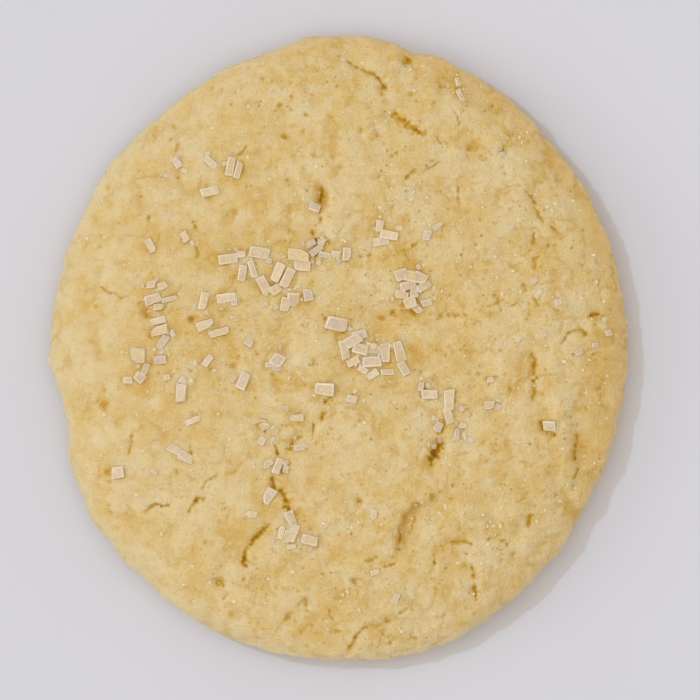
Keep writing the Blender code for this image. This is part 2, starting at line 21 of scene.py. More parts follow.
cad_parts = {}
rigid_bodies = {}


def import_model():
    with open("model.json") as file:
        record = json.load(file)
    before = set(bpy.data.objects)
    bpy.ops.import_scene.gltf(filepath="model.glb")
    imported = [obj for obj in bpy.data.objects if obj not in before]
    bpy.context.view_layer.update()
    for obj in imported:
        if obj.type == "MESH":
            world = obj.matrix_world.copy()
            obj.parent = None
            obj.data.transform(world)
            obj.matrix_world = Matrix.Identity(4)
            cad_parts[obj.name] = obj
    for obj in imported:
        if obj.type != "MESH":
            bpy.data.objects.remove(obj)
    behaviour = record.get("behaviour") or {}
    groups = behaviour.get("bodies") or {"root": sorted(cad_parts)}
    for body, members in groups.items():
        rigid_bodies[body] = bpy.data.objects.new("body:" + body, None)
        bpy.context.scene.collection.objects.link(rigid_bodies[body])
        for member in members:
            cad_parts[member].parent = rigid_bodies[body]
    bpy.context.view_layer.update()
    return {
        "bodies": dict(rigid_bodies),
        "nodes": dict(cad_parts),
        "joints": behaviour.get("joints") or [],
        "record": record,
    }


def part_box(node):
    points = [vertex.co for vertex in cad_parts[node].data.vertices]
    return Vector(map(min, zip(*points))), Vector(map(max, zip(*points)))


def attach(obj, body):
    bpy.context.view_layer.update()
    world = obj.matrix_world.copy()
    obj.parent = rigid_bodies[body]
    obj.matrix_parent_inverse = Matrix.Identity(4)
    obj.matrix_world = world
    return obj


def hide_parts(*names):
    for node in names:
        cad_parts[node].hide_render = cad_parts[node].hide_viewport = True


Array = np.ndarray
BMesh = bmesh.types.BMesh
Colour = tuple[float, float, float]
Line = tuple[tuple[float, float], ...]
Pair = tuple[float, float]
Socket = bpy.types.NodeSocket

LOG = logging.getLogger("cookie")
NODE = "cookie"
BODY = "root"
MM = 0.001
NOISE_SEED = 7  # without one, the noise that creases wander by would start from the time
CREASE_WAVES = 2.3  # how often a crease wanders in the width of a lump
UP = Vector((0.0, 0.0, 1.0))


class Shift(float, Enum):
    """How far each noise is moved, so that no two show the same pattern."""

    NONE = 0.0
    RAGGED = 3.0
    CREASES = 5.0
    CRUMBS = 7.0
    SPLITS = 9.0
    CRAGS = 11.0
    OPEN = 17.0
    SERRATION = 23.0
    STAINS = 29.0


def smooth_step(value: Array) -> Array:
    """Return a smooth rise from 0 to 1 over the same range of the input."""
    value = np.clip(value, 0.0, 1.0)
    return value * value * (3.0 - 2.0 * value)


def noise_at(points: Array, length: float, shift: Shift = Shift.NONE) -> Array:
    """Read smooth noise at many points.

    Args:
        points: One row of x, y and z for each point, in millimetres.
        length: The size of the noise's blobs, in millimetres.
        shift: Which of the noises of this length it is.

    Returns:
        A value from about -1 to 1 for each point.
    """
    move = Vector([shift.value] * 3)
    return np.array([noise.noise(Vector(point) / length + move) for point in points])


def creases_at(points: Array, length: float, waviness: float) -> Array:
    """Read a net of wavy creases between rounded lumps.

    Args:
        points: One row of x, y and z for each point, in millimetres.
        length: The width of a lump, in millimetres.
        waviness: How far the creases wander, as a share of a lump.

    Returns:
        How far each point is from the nearest crease, in millimetres.
    """
    move = Vector([Shift.CREASES.value] * 3)
    gaps = []
    for point in points:
        place = Vector(point) / length + move
        wander = waviness * noise.noise_vector(CREASE_WAVES * place)
        near, next_near = noise.voronoi(place + wander)[0][:2]
        gaps.append(0.5 * length * (next_near - near))
    return np.array(gaps)


@dataclass(frozen=True)
class Rise:
    """A smooth rise from 0 to 1, from a start and over a run."""

    start: float
    run: float

    def at(self, value: Array) -> Array:
        """Return the risen share at each value."""
        return smooth_step((value - self.start) / self.run)


@dataclass(frozen=True)
class Hollow:
    """A round dent or pore of the top, in millimetres."""

    x: float
    y: float
    radius: float
    depth: float


@dataclass(frozen=True)
class Lump:
    """A soft round lump of the top, in millimetres."""

    x: float
    y: float
    radius: float
    height: float


@dataclass(frozen=True)
class Crack:
    """A bent crack of the top, in millimetres."""

    half_width: float
    depth: float
    line: Line


@dataclass(frozen=True)
class Step:
    """A place where the top drops to a lower level, on the right of the line, in millimetres."""

    drop: float
    run: float
    line: Line


@dataclass(frozen=True)
class Crystal:
    """One coarse crystal: its middle and size in millimetres, and its heading in degrees."""

    x: float
    y: float
    length: float
    width: float
    heading: float


# Broad hollows of the top: x, y, radius, depth.
HOLLOWS = tuple(Hollow(*row) for row in (
    (-20.4, 21.9, 1.9, 0.4), (-23.6, 20.0, 1.9, 0.3), (-2.3, 18.7, 1.3, 0.6), (5.2, 19.2, 1.2, 0.3),
    (16.3, 24.6, 1.5, 0.45), (19.2, 29.3, 1.7, 0.35), (5.4, 32.2, 1.1, 0.3), (8.5, 35.7, 0.9, 0.6),
    (20.6, 12.1, 1.1, 0.3), (24.4, 13.0, 1.3, 0.25), (6.2, 3.4, 2.4, 0.5), (8.7, 3.8, 1.1, 0.35),
    (2.6, 14.6, 1.8, 0.3), (12.9, 3.8, 0.9, 0.35), (-24.2, 4.2, 0.9, 0.45), (-18.4, 3.4, 0.8, 0.35),
    (-6.6, 3.2, 1.6, 0.35), (-13.3, -2.4, 0.9, 0.3), (-6.6, -0.6, 1.2, 0.3), (1.0, -2.9, 1.2, 0.35),
    (-29.2, -15.8, 1.1, 0.4), (-29.4, -7.3, 0.9, 0.4), (24.1, -6.1, 1.1, 0.55), (26.2, -9.9, 1.7, 0.35),
    (29.8, -13.4, 1.2, 0.55), (31.6, 3.9, 0.9, 0.4), (14.0, -25.8, 2.0, 0.35), (16.7, -30.4, 0.9, 0.4),
    (16.4, -27.8, 0.9, 0.35), (2.4, -19.3, 1.0, 0.3), (-15.0, -29.6, 1.0, 0.55), (-6.5, -33.8, 1.2, 0.35),
    (-0.5, -35.5, 1.0, 0.4), (6.0, -34.2, 0.9, 0.45), (1.8, -29.3, 0.9, 0.35), (-4.2, -31.9, 0.9, 0.3),
))

# Wide cracks of the top: half width, depth, points.
CRACKS = tuple(Crack(*row) for row in (
    (0.7, 0.65, ((-8.5, -16.4), (-8.2, -17.5), (-7.2, -18.4), (-6.8, -19.4), (-6.6, -20.4))),
    (0.8, 0.8, ((-8.8, -21.8), (-9.3, -22.9), (-10.6, -23.9), (-11.5, -25.1), (-12.0, -26.6),
        (-11.9, -27.5))),
    (0.65, 0.4, ((-24.3, -20.7), (-23.0, -19.8), (-22.0, -20.1), (-21.1, -19.9))),
    (0.65, 0.5, ((-18.8, -20.8), (-18.1, -19.5), (-17.2, -18.8), (-16.8, -17.4), (-16.2, -16.5),
        (-15.0, -16.0))),
    (0.9, 1.4, ((12.7, -11.9), (12.2, -12.9), (11.8, -13.9), (11.3, -14.9))),
    (0.7, 0.6, ((23.8, -0.9), (24.4, -2.2), (24.3, -3.4), (24.4, -4.7))),
    (0.7, 0.45, ((12.3, -24.2), (14.2, -24.5), (15.6, -24.4), (17.2, -24.4), (18.8, -24.0), (20.2, -23.4))),
    (0.7, 0.55, ((-0.9, 35.9), (1.0, 35.8), (2.1, 35.1), (3.4, 34.4), (4.6, 33.9), (5.1, 33.2),
        (5.7, 32.2))),
    (0.85, 0.5, ((6.4, 29.0), (8.3, 27.8), (10.3, 26.4))),
    (0.65, 0.5, ((-2.6, 20.2), (-2.2, 19.0), (-2.4, 17.9), (-2.3, 16.6), (-2.4, 15.4), (-3.3, 14.2),
        (-2.8, 13.2))),
    (0.65, 0.4, ((23.9, 18.9), (24.5, 17.9), (24.8, 16.7), (25.4, 15.6))),
    (0.65, 0.35, ((26.3, 15.0), (27.1, 14.3), (27.9, 13.8))),
    (0.65, 0.35, ((27.6, 0.3), (28.3, 1.2), (29.3, 2.1), (30.4, 2.2), (30.8, 1.3))),
    (0.65, 0.4, ((1.0, -38.0), (1.7, -36.8), (2.4, -35.8), (3.6, -34.9), (5.2, -34.9))),
    (0.65, 0.35, ((-29.8, 7.3), (-28.5, 6.4), (-27.1, 6.0), (-26.0, 6.4))),
    (0.65, 0.4, ((-1.0, -6.0), (-1.8, -7.0), (-2.2, -9.0), (-3.3, -10.1), (-5.0, -11.2), (-6.2, -12.7),
        (-7.8, -13.3))),
))

# Steps of the top: drop, how far the lower side runs, points.
STEPS = tuple(Step(*row) for row in (
    (1.2, 6.0, ((6.6, -26.6), (7.1, -25.2), (7.3, -23.7), (7.6, -22.2), (8.2, -20.9), (9.2, -19.9),
        (10.7, -19.5), (12.0, -18.6), (13.2, -17.4))),
    (0.5, 4.0, ((28.2, -19.0), (29.3, -17.4), (29.6, -15.8), (29.4, -14.0), (29.2, -12.4), (29.1, -10.9),
        (28.6, -9.4), (29.2, -7.4))),
    (0.45, 2.5, ((-9.8, 12.2), (-8.9, 12.8), (-7.6, 13.2), (-6.2, 13.2), (-4.8, 12.8))),
    (0.35, 2.5, ((-14.6, 12.0), (-13.0, 12.3), (-11.6, 12.7))),
    (0.4, 3.0, ((22.8, 15.0), (24.0, 17.6), (24.2, 20.0), (23.4, 22.6))),
))

# Soft round lumps of the top: x, y, radius, height.
LUMPS = tuple(Lump(*row) for row in (
    (-18.0, 22.3, 1.9, 0.25), (-15.4, 16.7, 1.2, 0.2), (-28.5, 12.0, 1.7, 0.25), (-28.8, 8.2, 1.0, 0.15),
    (-26.8, 3.4, 2.0, 0.2), (-0.9, 16.2, 1.7, 0.35), (-4.2, 1.2, 2.3, 0.35), (-1.8, 22.3, 1.3, 0.2),
    (-7.5, 24.6, 1.5, 0.15), (-16.0, 28.4, 1.2, 0.12), (-13.0, 29.2, 1.1, 0.12), (-3.5, 7.9, 1.6, 0.15),
    (14.5, 24.4, 1.4, 0.35), (19.2, 25.7, 1.2, 0.25), (22.3, 23.4, 1.6, 0.3), (21.8, 21.5, 1.2, 0.2),
    (11.6, 31.6, 1.4, 0.2), (14.0, 26.5, 1.1, 0.2), (7.5, 18.8, 1.3, 0.2), (4.6, 35.4, 1.0, 0.25),
    (4.2, 36.9, 1.3, 0.15), (5.2, 6.4, 1.1, 0.2), (12.0, 10.8, 1.1, 0.15), (25.3, 7.0, 0.9, 0.2),
    (8.5, 33.0, 1.0, 0.15), (2.6, 33.0, 1.5, 0.15), (9.5, 1.5, 1.6, 0.15), (17.5, 20.5, 1.0, 0.12),
    (25.8, 1.6, 1.0, 0.12), (33.5, 2.2, 0.9, 0.2), (-16.8, -6.5, 1.6, 0.2), (-28.8, -12.3, 1.6, 0.15),
    (-22.8, -7.2, 1.0, 0.12), (-21.4, -17.7, 1.0, 0.12), (-2.0, -3.2, 1.4, 0.25), (-4.5, -20.5, 1.0, 0.15),
    (-6.0, -23.0, 1.0, 0.2), (-12.1, -32.3, 1.1, 0.15), (-2.5, -32.3, 1.1, 0.15), (-3.0, -26.8, 1.0, 0.12),
    (-9.0, -26.0, 1.4, 0.12), (-15.5, -13.5, 1.5, 0.1), (-16.6, -27.2, 1.3, 0.1), (-13.0, -20.0, 1.5, 0.1),
    (7.0, -7.7, 1.7, 0.25), (17.3, -9.4, 1.8, 0.25), (17.0, -15.0, 1.7, 0.2), (6.3, -22.0, 1.2, 0.3),
    (8.2, -19.4, 0.9, 0.15), (13.0, -22.0, 2.4, 0.2), (18.8, -27.0, 2.6, 0.3), (21.3, -21.2, 1.7, 0.2),
    (27.8, -7.7, 1.1, 0.4), (27.6, -10.6, 1.0, 0.3), (23.6, -12.1, 1.1, 0.2), (10.4, -27.0, 1.1, 0.2),
    (22.8, -24.6, 1.2, 0.15), (15.8, -7.0, 1.2, 0.15), (26.4, -2.3, 1.4, 0.12), (10.0, -13.5, 1.2, 0.15),
    (1.5, -33.0, 1.2, 0.1), (9.0, -30.0, 1.5, 0.1), (26.3, -22.7, 1.0, 0.15), (21.5, -7.5, 1.5, 0.12),
))

# Narrow splits, too fine for the solid: half width, depth, points.
SPLITS = tuple(Crack(*row) for row in (
    (0.4, 0.6, ((7.0, 28.9), (8.3, 27.9), (9.4, 27.1), (10.2, 26.7))),
    (0.22, 0.35, ((24.3, -4.9), (24.3, -5.8), (24.1, -6.9))), (0.2, 0.4, ((29.8, -11.2), (29.6, -12.6))),
    (0.3, 0.5, ((25.2, -9.6), (25.7, -10.6), (26.8, -11.0))), (0.26, 0.5, ((23.8, -21.2), (23.7, -22.6))),
    (0.3, 0.45, ((24.3, 14.2), (24.3, 12.8))), (0.26, 0.45, ((24.3, 10.8), (24.4, 9.8))),
    (0.28, 0.4, ((13.6, 3.9), (14.9, 3.9))), (0.3, 0.45, ((7.9, 5.7), (8.7, 4.6), (9.4, 4.1))),
    (0.2, 0.6, ((-8.5, -16.4), (-8.3, -17.3), (-8.1, -17.7))),
    (0.34, 0.9, ((-7.3, -18.2), (-6.8, -18.9), (-6.5, -19.4))), (0.3, 0.9, ((-6.8, -20.0), (-6.4, -20.3))),
    (0.26, 0.7, ((-9.2, -22.6), (-9.9, -23.4), (-10.7, -24.1), (-11.1, -24.8))),
    (0.3, 0.8, ((-11.5, -25.2), (-11.9, -26.2), (-12.0, -26.9), (-11.7, -27.4))),
    (0.18, 0.45, ((-24.3, -20.6), (-23.6, -20.1), (-23.0, -19.7), (-22.2, -20.0), (-21.4, -19.9))),
    (0.2, 0.5, ((-18.8, -20.6), (-18.5, -19.9), (-17.8, -19.4))),
    (0.26, 0.7, ((-18.1, -19.3), (-17.6, -19.0), (-17.1, -19.0))),
    (0.15, 0.35, ((-17.0, -17.6), (-16.7, -16.8), (-15.9, -16.4), (-15.3, -16.1))),
    (0.15, 0.35, ((-14.0, -16.0), (-13.5, -15.9), (-12.9, -15.6))),
    (0.42, 1.3, ((12.5, -12.2), (12.1, -12.9), (11.8, -13.6), (11.4, -14.2))),
    (0.2, 0.6, ((12.9, -9.3), (13.0, -10.1), (12.8, -10.5), (12.3, -10.8))),
    (0.18, 0.55, ((24.0, -1.1), (24.5, -1.8), (24.3, -2.8), (24.3, -3.5))),
    (0.16, 0.55, ((24.7, -3.9), (24.4, -4.3), (24.1, -4.3))),
    (0.18, 0.45, ((14.2, -24.4), (15.6, -24.4), (16.4, -24.6))),
    (0.14, 0.4, ((18.2, -24.2), (19.3, -23.9), (20.0, -23.5))),
    (0.16, 0.5, ((20.2, -24.3), (20.8, -24.3), (21.0, -24.9))),
    (0.14, 0.55, ((1.0, 35.7), (1.6, 35.3), (2.3, 35.0))),
    (0.2, 0.45, ((2.9, 34.5), (3.7, 34.2), (4.4, 34.0))),
    (0.14, 0.6, ((4.7, 33.7), (5.1, 33.2), (5.5, 32.4), (5.8, 32.2))),
    (0.18, 0.45, ((-2.4, 15.5), (-2.3, 16.0))), (0.28, 0.9, ((-2.3, 19.6), (-2.2, 18.8), (-2.4, 18.1))),
    (0.16, 0.45, ((-3.4, 14.3), (-3.3, 13.8))), (0.14, 0.5, ((-3.0, 13.4), (-2.6, 12.8), (-2.0, 12.2))),
    (0.14, 0.4, ((23.9, 18.9), (24.2, 18.2), (24.6, 17.8))),
    (0.2, 0.35, ((24.6, 17.2), (24.9, 16.4), (25.4, 15.6))),
    (0.16, 0.45, ((26.4, 14.9), (27.1, 14.4), (27.7, 13.9))),
    (0.13, 0.35, ((24.1, 11.0), (24.6, 11.0), (25.0, 11.3))), (0.15, 0.4, ((23.0, 7.8), (23.2, 7.0))),
    (0.15, 0.4, ((24.3, 6.0), (24.8, 5.2))), (0.17, 0.35, ((23.8, 5.3), (23.7, 4.0))),
    (0.15, 0.4, ((27.7, 0.4), (28.2, 0.9), (28.4, 1.4))),
    (0.13, 0.35, ((28.5, 1.6), (29.2, 2.0), (30.1, 2.1))), (0.17, 0.45, ((30.5, 2.1), (30.8, 1.4))),
    (0.16, 0.6, ((30.9, 3.6), (31.5, 3.9), (32.5, 4.1))),
    (0.2, 0.45, ((1.1, -37.9), (1.7, -37.0), (2.0, -36.2))),
    (0.12, 0.3, ((2.2, -36.0), (3.2, -35.0), (5.0, -34.9))),
    (0.14, 0.35, ((-29.8, 7.4), (-29.2, 6.9), (-28.4, 6.5))),
    (0.14, 0.35, ((-28.0, 6.6), (-27.2, 6.0), (-26.2, 6.4))),
    (0.14, 0.45, ((-1.0, -6.2), (-1.5, -6.7), (-1.9, -7.0))), (0.24, 0.6, ((-2.0, -8.5), (-2.2, -9.2))),
    (0.14, 0.4, ((-3.2, -9.7), (-3.4, -10.9))), (0.18, 0.55, ((-6.8, -12.8), (-6.1, -12.8), (-5.9, -12.0))),
    (0.14, 0.4, ((-4.9, -11.2), (-5.2, -11.5))), (0.2, 0.55, ((-8.1, -12.2), (-8.0, -12.7), (-7.7, -13.4))),
    (0.12, 0.45, ((-9.6, -9.9), (-9.5, -10.4), (-9.2, -10.9))),
    (0.12, 0.4, ((-9.6, -9.0), (-9.2, -9.1), (-9.0, -9.4))),
    (0.18, 0.5, ((7.3, -24.6), (7.6, -23.9), (7.5, -23.1))), (0.16, 0.45, ((7.0, -25.3), (7.5, -25.4))),
    (0.16, 0.4, ((9.4, -21.2), (9.2, -21.9), (9.0, -22.7))), (0.15, 0.35, ((9.0, -19.6), (10.2, -19.5))),
    (0.13, 0.4, ((4.6, -26.2), (4.1, -26.7), (3.2, -26.9))),
    (0.15, 0.45, ((5.7, -27.5), (6.3, -27.4), (6.9, -27.1))),
    (0.14, 0.35, ((4.0, 11.4), (3.4, 11.3), (2.6, 11.2))), (0.17, 0.5, ((8.0, 12.0), (8.4, 12.0))),
    (0.17, 0.5, ((9.1, 12.4), (9.5, 12.7), (9.7, 13.0))), (0.12, 0.3, ((7.0, 12.3), (7.3, 11.6))),
    (0.1, 0.3, ((18.0, 5.0), (19.2, 5.1), (20.4, 5.8))), (0.14, 0.35, ((21.7, 5.1), (22.2, 5.5))),
    (0.14, 0.35, ((12.1, 26.2), (12.4, 25.7), (12.8, 25.2))),
    (0.12, 0.35, ((10.6, 22.0), (11.5, 22.4), (12.5, 23.1))), (0.2, 0.45, ((8.3, 21.0), (9.3, 22.1))),
    (0.11, 0.35, ((14.2, 29.4), (14.7, 28.8), (15.0, 27.7))), (0.14, 0.4, ((20.5, 25.1), (20.6, 24.2))),
    (0.14, 0.3, ((14.9, 19.9), (14.8, 18.8), (14.9, 17.4))),
    (0.13, 0.35, ((-12.7, 23.7), (-12.2, 24.2), (-11.6, 25.0))),
    (0.13, 0.35, ((-20.5, 24.5), (-20.2, 25.0))), (0.14, 0.35, ((-22.5, 14.1), (-22.7, 12.9))),
    (0.13, 0.35, ((-18.3, 15.5), (-18.0, 14.9))),
    (0.14, 0.35, ((-18.0, 12.4), (-17.7, 11.8), (-17.8, 11.0))),
    (0.13, 0.3, ((-26.0, -10.9), (-26.0, -11.7), (-26.3, -13.4))),
    (0.18, 0.45, ((-18.7, -12.5), (-18.5, -13.4))), (0.14, 0.35, ((-20.5, -15.4), (-20.2, -15.9))),
    (0.13, 0.4, ((-15.9, -29.0), (-15.3, -29.2), (-14.5, -29.9))),
    (0.16, 0.4, ((-14.1, -31.0), (-14.5, -31.6))),
    (0.16, 0.35, ((-4.4, -31.4), (-4.2, -32.0), (-4.1, -33.1))),
    (0.13, 0.3, ((-1.3, -33.0), (-1.2, -33.8), (-0.8, -34.3))), (0.2, 0.4, ((-0.9, -35.6), (0.1, -35.6))),
    (0.14, 0.35, ((-5.7, -34.1), (-5.4, -34.4))), (0.2, 0.5, ((11.8, -26.1), (11.9, -27.0))),
    (0.2, 0.5, ((16.5, -27.5), (16.7, -28.0), (16.7, -28.7))),
    (0.2, 0.55, ((16.8, -29.8), (16.9, -30.6), (17.0, -31.5))),
    (0.16, 0.35, ((7.6, -33.3), (8.3, -32.9), (9.0, -32.5))), (0.16, 0.3, ((8.8, -36.5), (9.6, -36.6))),
    (0.16, 0.55, ((29.4, -13.2), (29.5, -14.2))), (0.14, 0.45, ((29.8, -15.4), (29.4, -16.4))),
    (0.16, 0.4, ((29.3, -17.3), (29.2, -17.8))), (0.12, 0.35, ((32.5, -5.0), (32.7, -5.4))),
    (0.12, 0.3, ((22.0, -19.4), (23.2, -19.0), (23.5, -18.2))), (0.11, 0.3, ((27.0, -18.8), (27.8, -18.2))),
))

# Pores, too fine for the solid: x, y, radius, depth.
PORES = tuple(Hollow(*row) for row in (
    (-2.0, 18.6, 0.55, 0.5), (5.4, 32.3, 0.4, 0.6), (11.7, -18.7, 0.42, 0.5), (16.2, 24.8, 0.45, 0.45),
    (8.5, 35.7, 0.5, 0.7), (5.3, 31.5, 0.28, 0.45), (8.9, 31.5, 0.28, 0.5), (12.6, 32.4, 0.24, 0.4),
    (11.7, 30.4, 0.26, 0.35), (1.5, 30.9, 0.38, 0.3), (-7.4, 30.2, 0.26, 0.5), (-6.0, 31.1, 0.26, 0.4),
    (-6.0, 29.5, 0.2, 0.35), (-4.2, 28.9, 0.34, 0.45), (-6.8, 26.1, 0.4, 0.6), (-4.6, 26.8, 0.26, 0.35),
    (-9.7, 33.4, 0.26, 0.4), (-2.1, 32.7, 0.16, 0.35), (2.7, 27.0, 0.32, 0.4), (-0.9, 28.6, 0.3, 0.3),
    (-3.3, 23.8, 0.26, 0.35), (-15.8, 32.2, 0.15, 0.3), (-21.1, 25.8, 0.24, 0.45), (-20.3, 21.1, 0.2, 0.55),
    (-20.8, 27.6, 0.28, 0.3), (-29.0, 19.8, 0.32, 0.3), (-23.9, 16.1, 0.3, 0.45), (-29.9, 12.5, 0.26, 0.4),
    (-30.4, 5.0, 0.22, 0.35), (-27.1, 6.0, 0.24, 0.35), (-24.0, 4.0, 0.5, 0.5), (-23.6, 1.2, 0.34, 0.4),
    (-18.4, 3.4, 0.36, 0.6), (-19.1, 1.7, 0.22, 0.35), (-22.1, 10.0, 0.2, 0.35), (-23.5, 9.2, 0.22, 0.35),
    (-12.3, 5.7, 0.3, 0.3), (-13.0, 16.8, 0.42, 0.35), (-1.8, 3.5, 0.26, 0.55), (0.4, 1.8, 0.24, 0.4),
    (5.3, 3.6, 0.4, 0.45), (6.7, 4.2, 0.36, 0.65), (8.0, 5.2, 0.4, 0.45), (12.6, 3.8, 0.36, 0.4),
    (2.8, 4.9, 0.16, 0.35), (15.8, 3.9, 0.22, 0.35), (11.4, 4.0, 0.2, 0.3), (9.3, 22.0, 0.34, 0.45),
    (14.9, 17.9, 0.26, 0.35), (17.7, 23.8, 0.24, 0.35), (20.7, 21.6, 0.26, 0.45), (20.4, 22.6, 0.2, 0.3),
    (19.1, 30.1, 0.24, 0.3), (28.9, 12.3, 0.26, 0.4), (24.2, 14.4, 0.22, 0.35), (24.4, 9.7, 0.26, 0.35),
    (23.4, 3.4, 0.2, 0.4), (31.5, 3.9, 0.28, 0.65), (21.3, 13.0, 0.2, 0.35), (26.1, 12.6, 0.22, 0.3),
    (33.3, -1.7, 0.2, 0.4), (32.6, -5.2, 0.24, 0.45), (33.0, -4.2, 0.22, 0.35), (33.0, -6.0, 0.24, 0.35),
    (28.3, -1.8, 0.22, 0.3), (28.4, -4.5, 0.2, 0.35), (19.5, -3.8, 0.22, 0.4), (17.2, -3.4, 0.24, 0.35),
    (16.1, -3.4, 0.3, 0.35), (18.4, -4.0, 0.22, 0.35), (21.3, -5.2, 0.26, 0.35), (10.2, -3.2, 0.28, 0.35),
    (5.5, -5.0, 0.26, 0.35), (-3.3, -2.3, 0.24, 0.45), (-8.3, -3.5, 0.22, 0.35), (-13.3, -2.4, 0.34, 0.35),
    (-12.6, -1.3, 0.26, 0.35), (-16.2, -2.9, 0.18, 0.35), (-18.6, -3.0, 0.22, 0.35),
    (-23.6, -2.2, 0.34, 0.4), (-29.4, -7.4, 0.48, 0.5), (-31.2, -9.0, 0.22, 0.3), (-18.4, -8.4, 0.18, 0.4),
    (-17.7, -8.6, 0.34, 0.3), (-20.0, -10.5, 0.18, 0.3), (-29.0, -15.7, 0.5, 0.4),
    (-28.8, -16.9, 0.24, 0.3), (-31.2, -14.0, 0.16, 0.25), (-7.2, -15.7, 0.24, 0.4),
    (-6.3, -14.6, 0.26, 0.3), (2.3, -9.3, 0.3, 0.3), (2.0, -9.9, 0.24, 0.3), (2.4, -19.4, 0.44, 0.4),
    (-0.8, -11.7, 0.18, 0.25), (5.8, -15.6, 0.18, 0.3), (14.8, -16.0, 0.24, 0.3), (14.2, -17.4, 0.22, 0.3),
    (15.0, -22.7, 0.3, 0.3), (12.8, -25.0, 0.22, 0.45), (15.6, -27.3, 0.34, 0.45), (9.2, -25.6, 0.18, 0.35),
    (11.6, -23.8, 0.22, 0.3), (22.6, -14.4, 0.18, 0.3), (24.8, -16.1, 0.22, 0.3), (22.1, -19.3, 0.26, 0.3),
    (21.7, -26.0, 0.26, 0.35), (24.4, -19.9, 0.18, 0.25), (28.6, -9.8, 0.24, 0.35), (30.9, -7.8, 0.22, 0.3),
    (31.0, -12.0, 0.18, 0.3), (25.4, -6.0, 0.3, 0.35), (-15.0, -29.5, 0.44, 0.6), (-13.5, -33.5, 0.36, 0.3),
    (-4.3, -31.6, 0.26, 0.35), (-6.5, -33.9, 0.44, 0.3), (-4.8, -35.8, 0.28, 0.3), (-4.0, -37.5, 0.3, 0.3),
    (-0.4, -35.6, 0.36, 0.4), (1.8, -29.4, 0.34, 0.45), (6.0, -34.5, 0.34, 0.45), (5.8, -34.0, 0.2, 0.4),
    (6.3, -37.2, 0.15, 0.45), (-2.8, -25.2, 0.22, 0.4), (-12.0, -29.1, 0.3, 0.35), (-8.0, -30.3, 0.26, 0.3),
    (-16.3, -17.5, 0.2, 0.25), (9.2, -28.3, 0.24, 0.3), (12.8, -29.2, 0.24, 0.3), (12.8, -34.5, 0.26, 0.25),
    (16.9, -33.3, 0.24, 0.3), (15.2, -29.4, 0.22, 0.3), (21.8, -30.0, 0.3, 0.3),
))

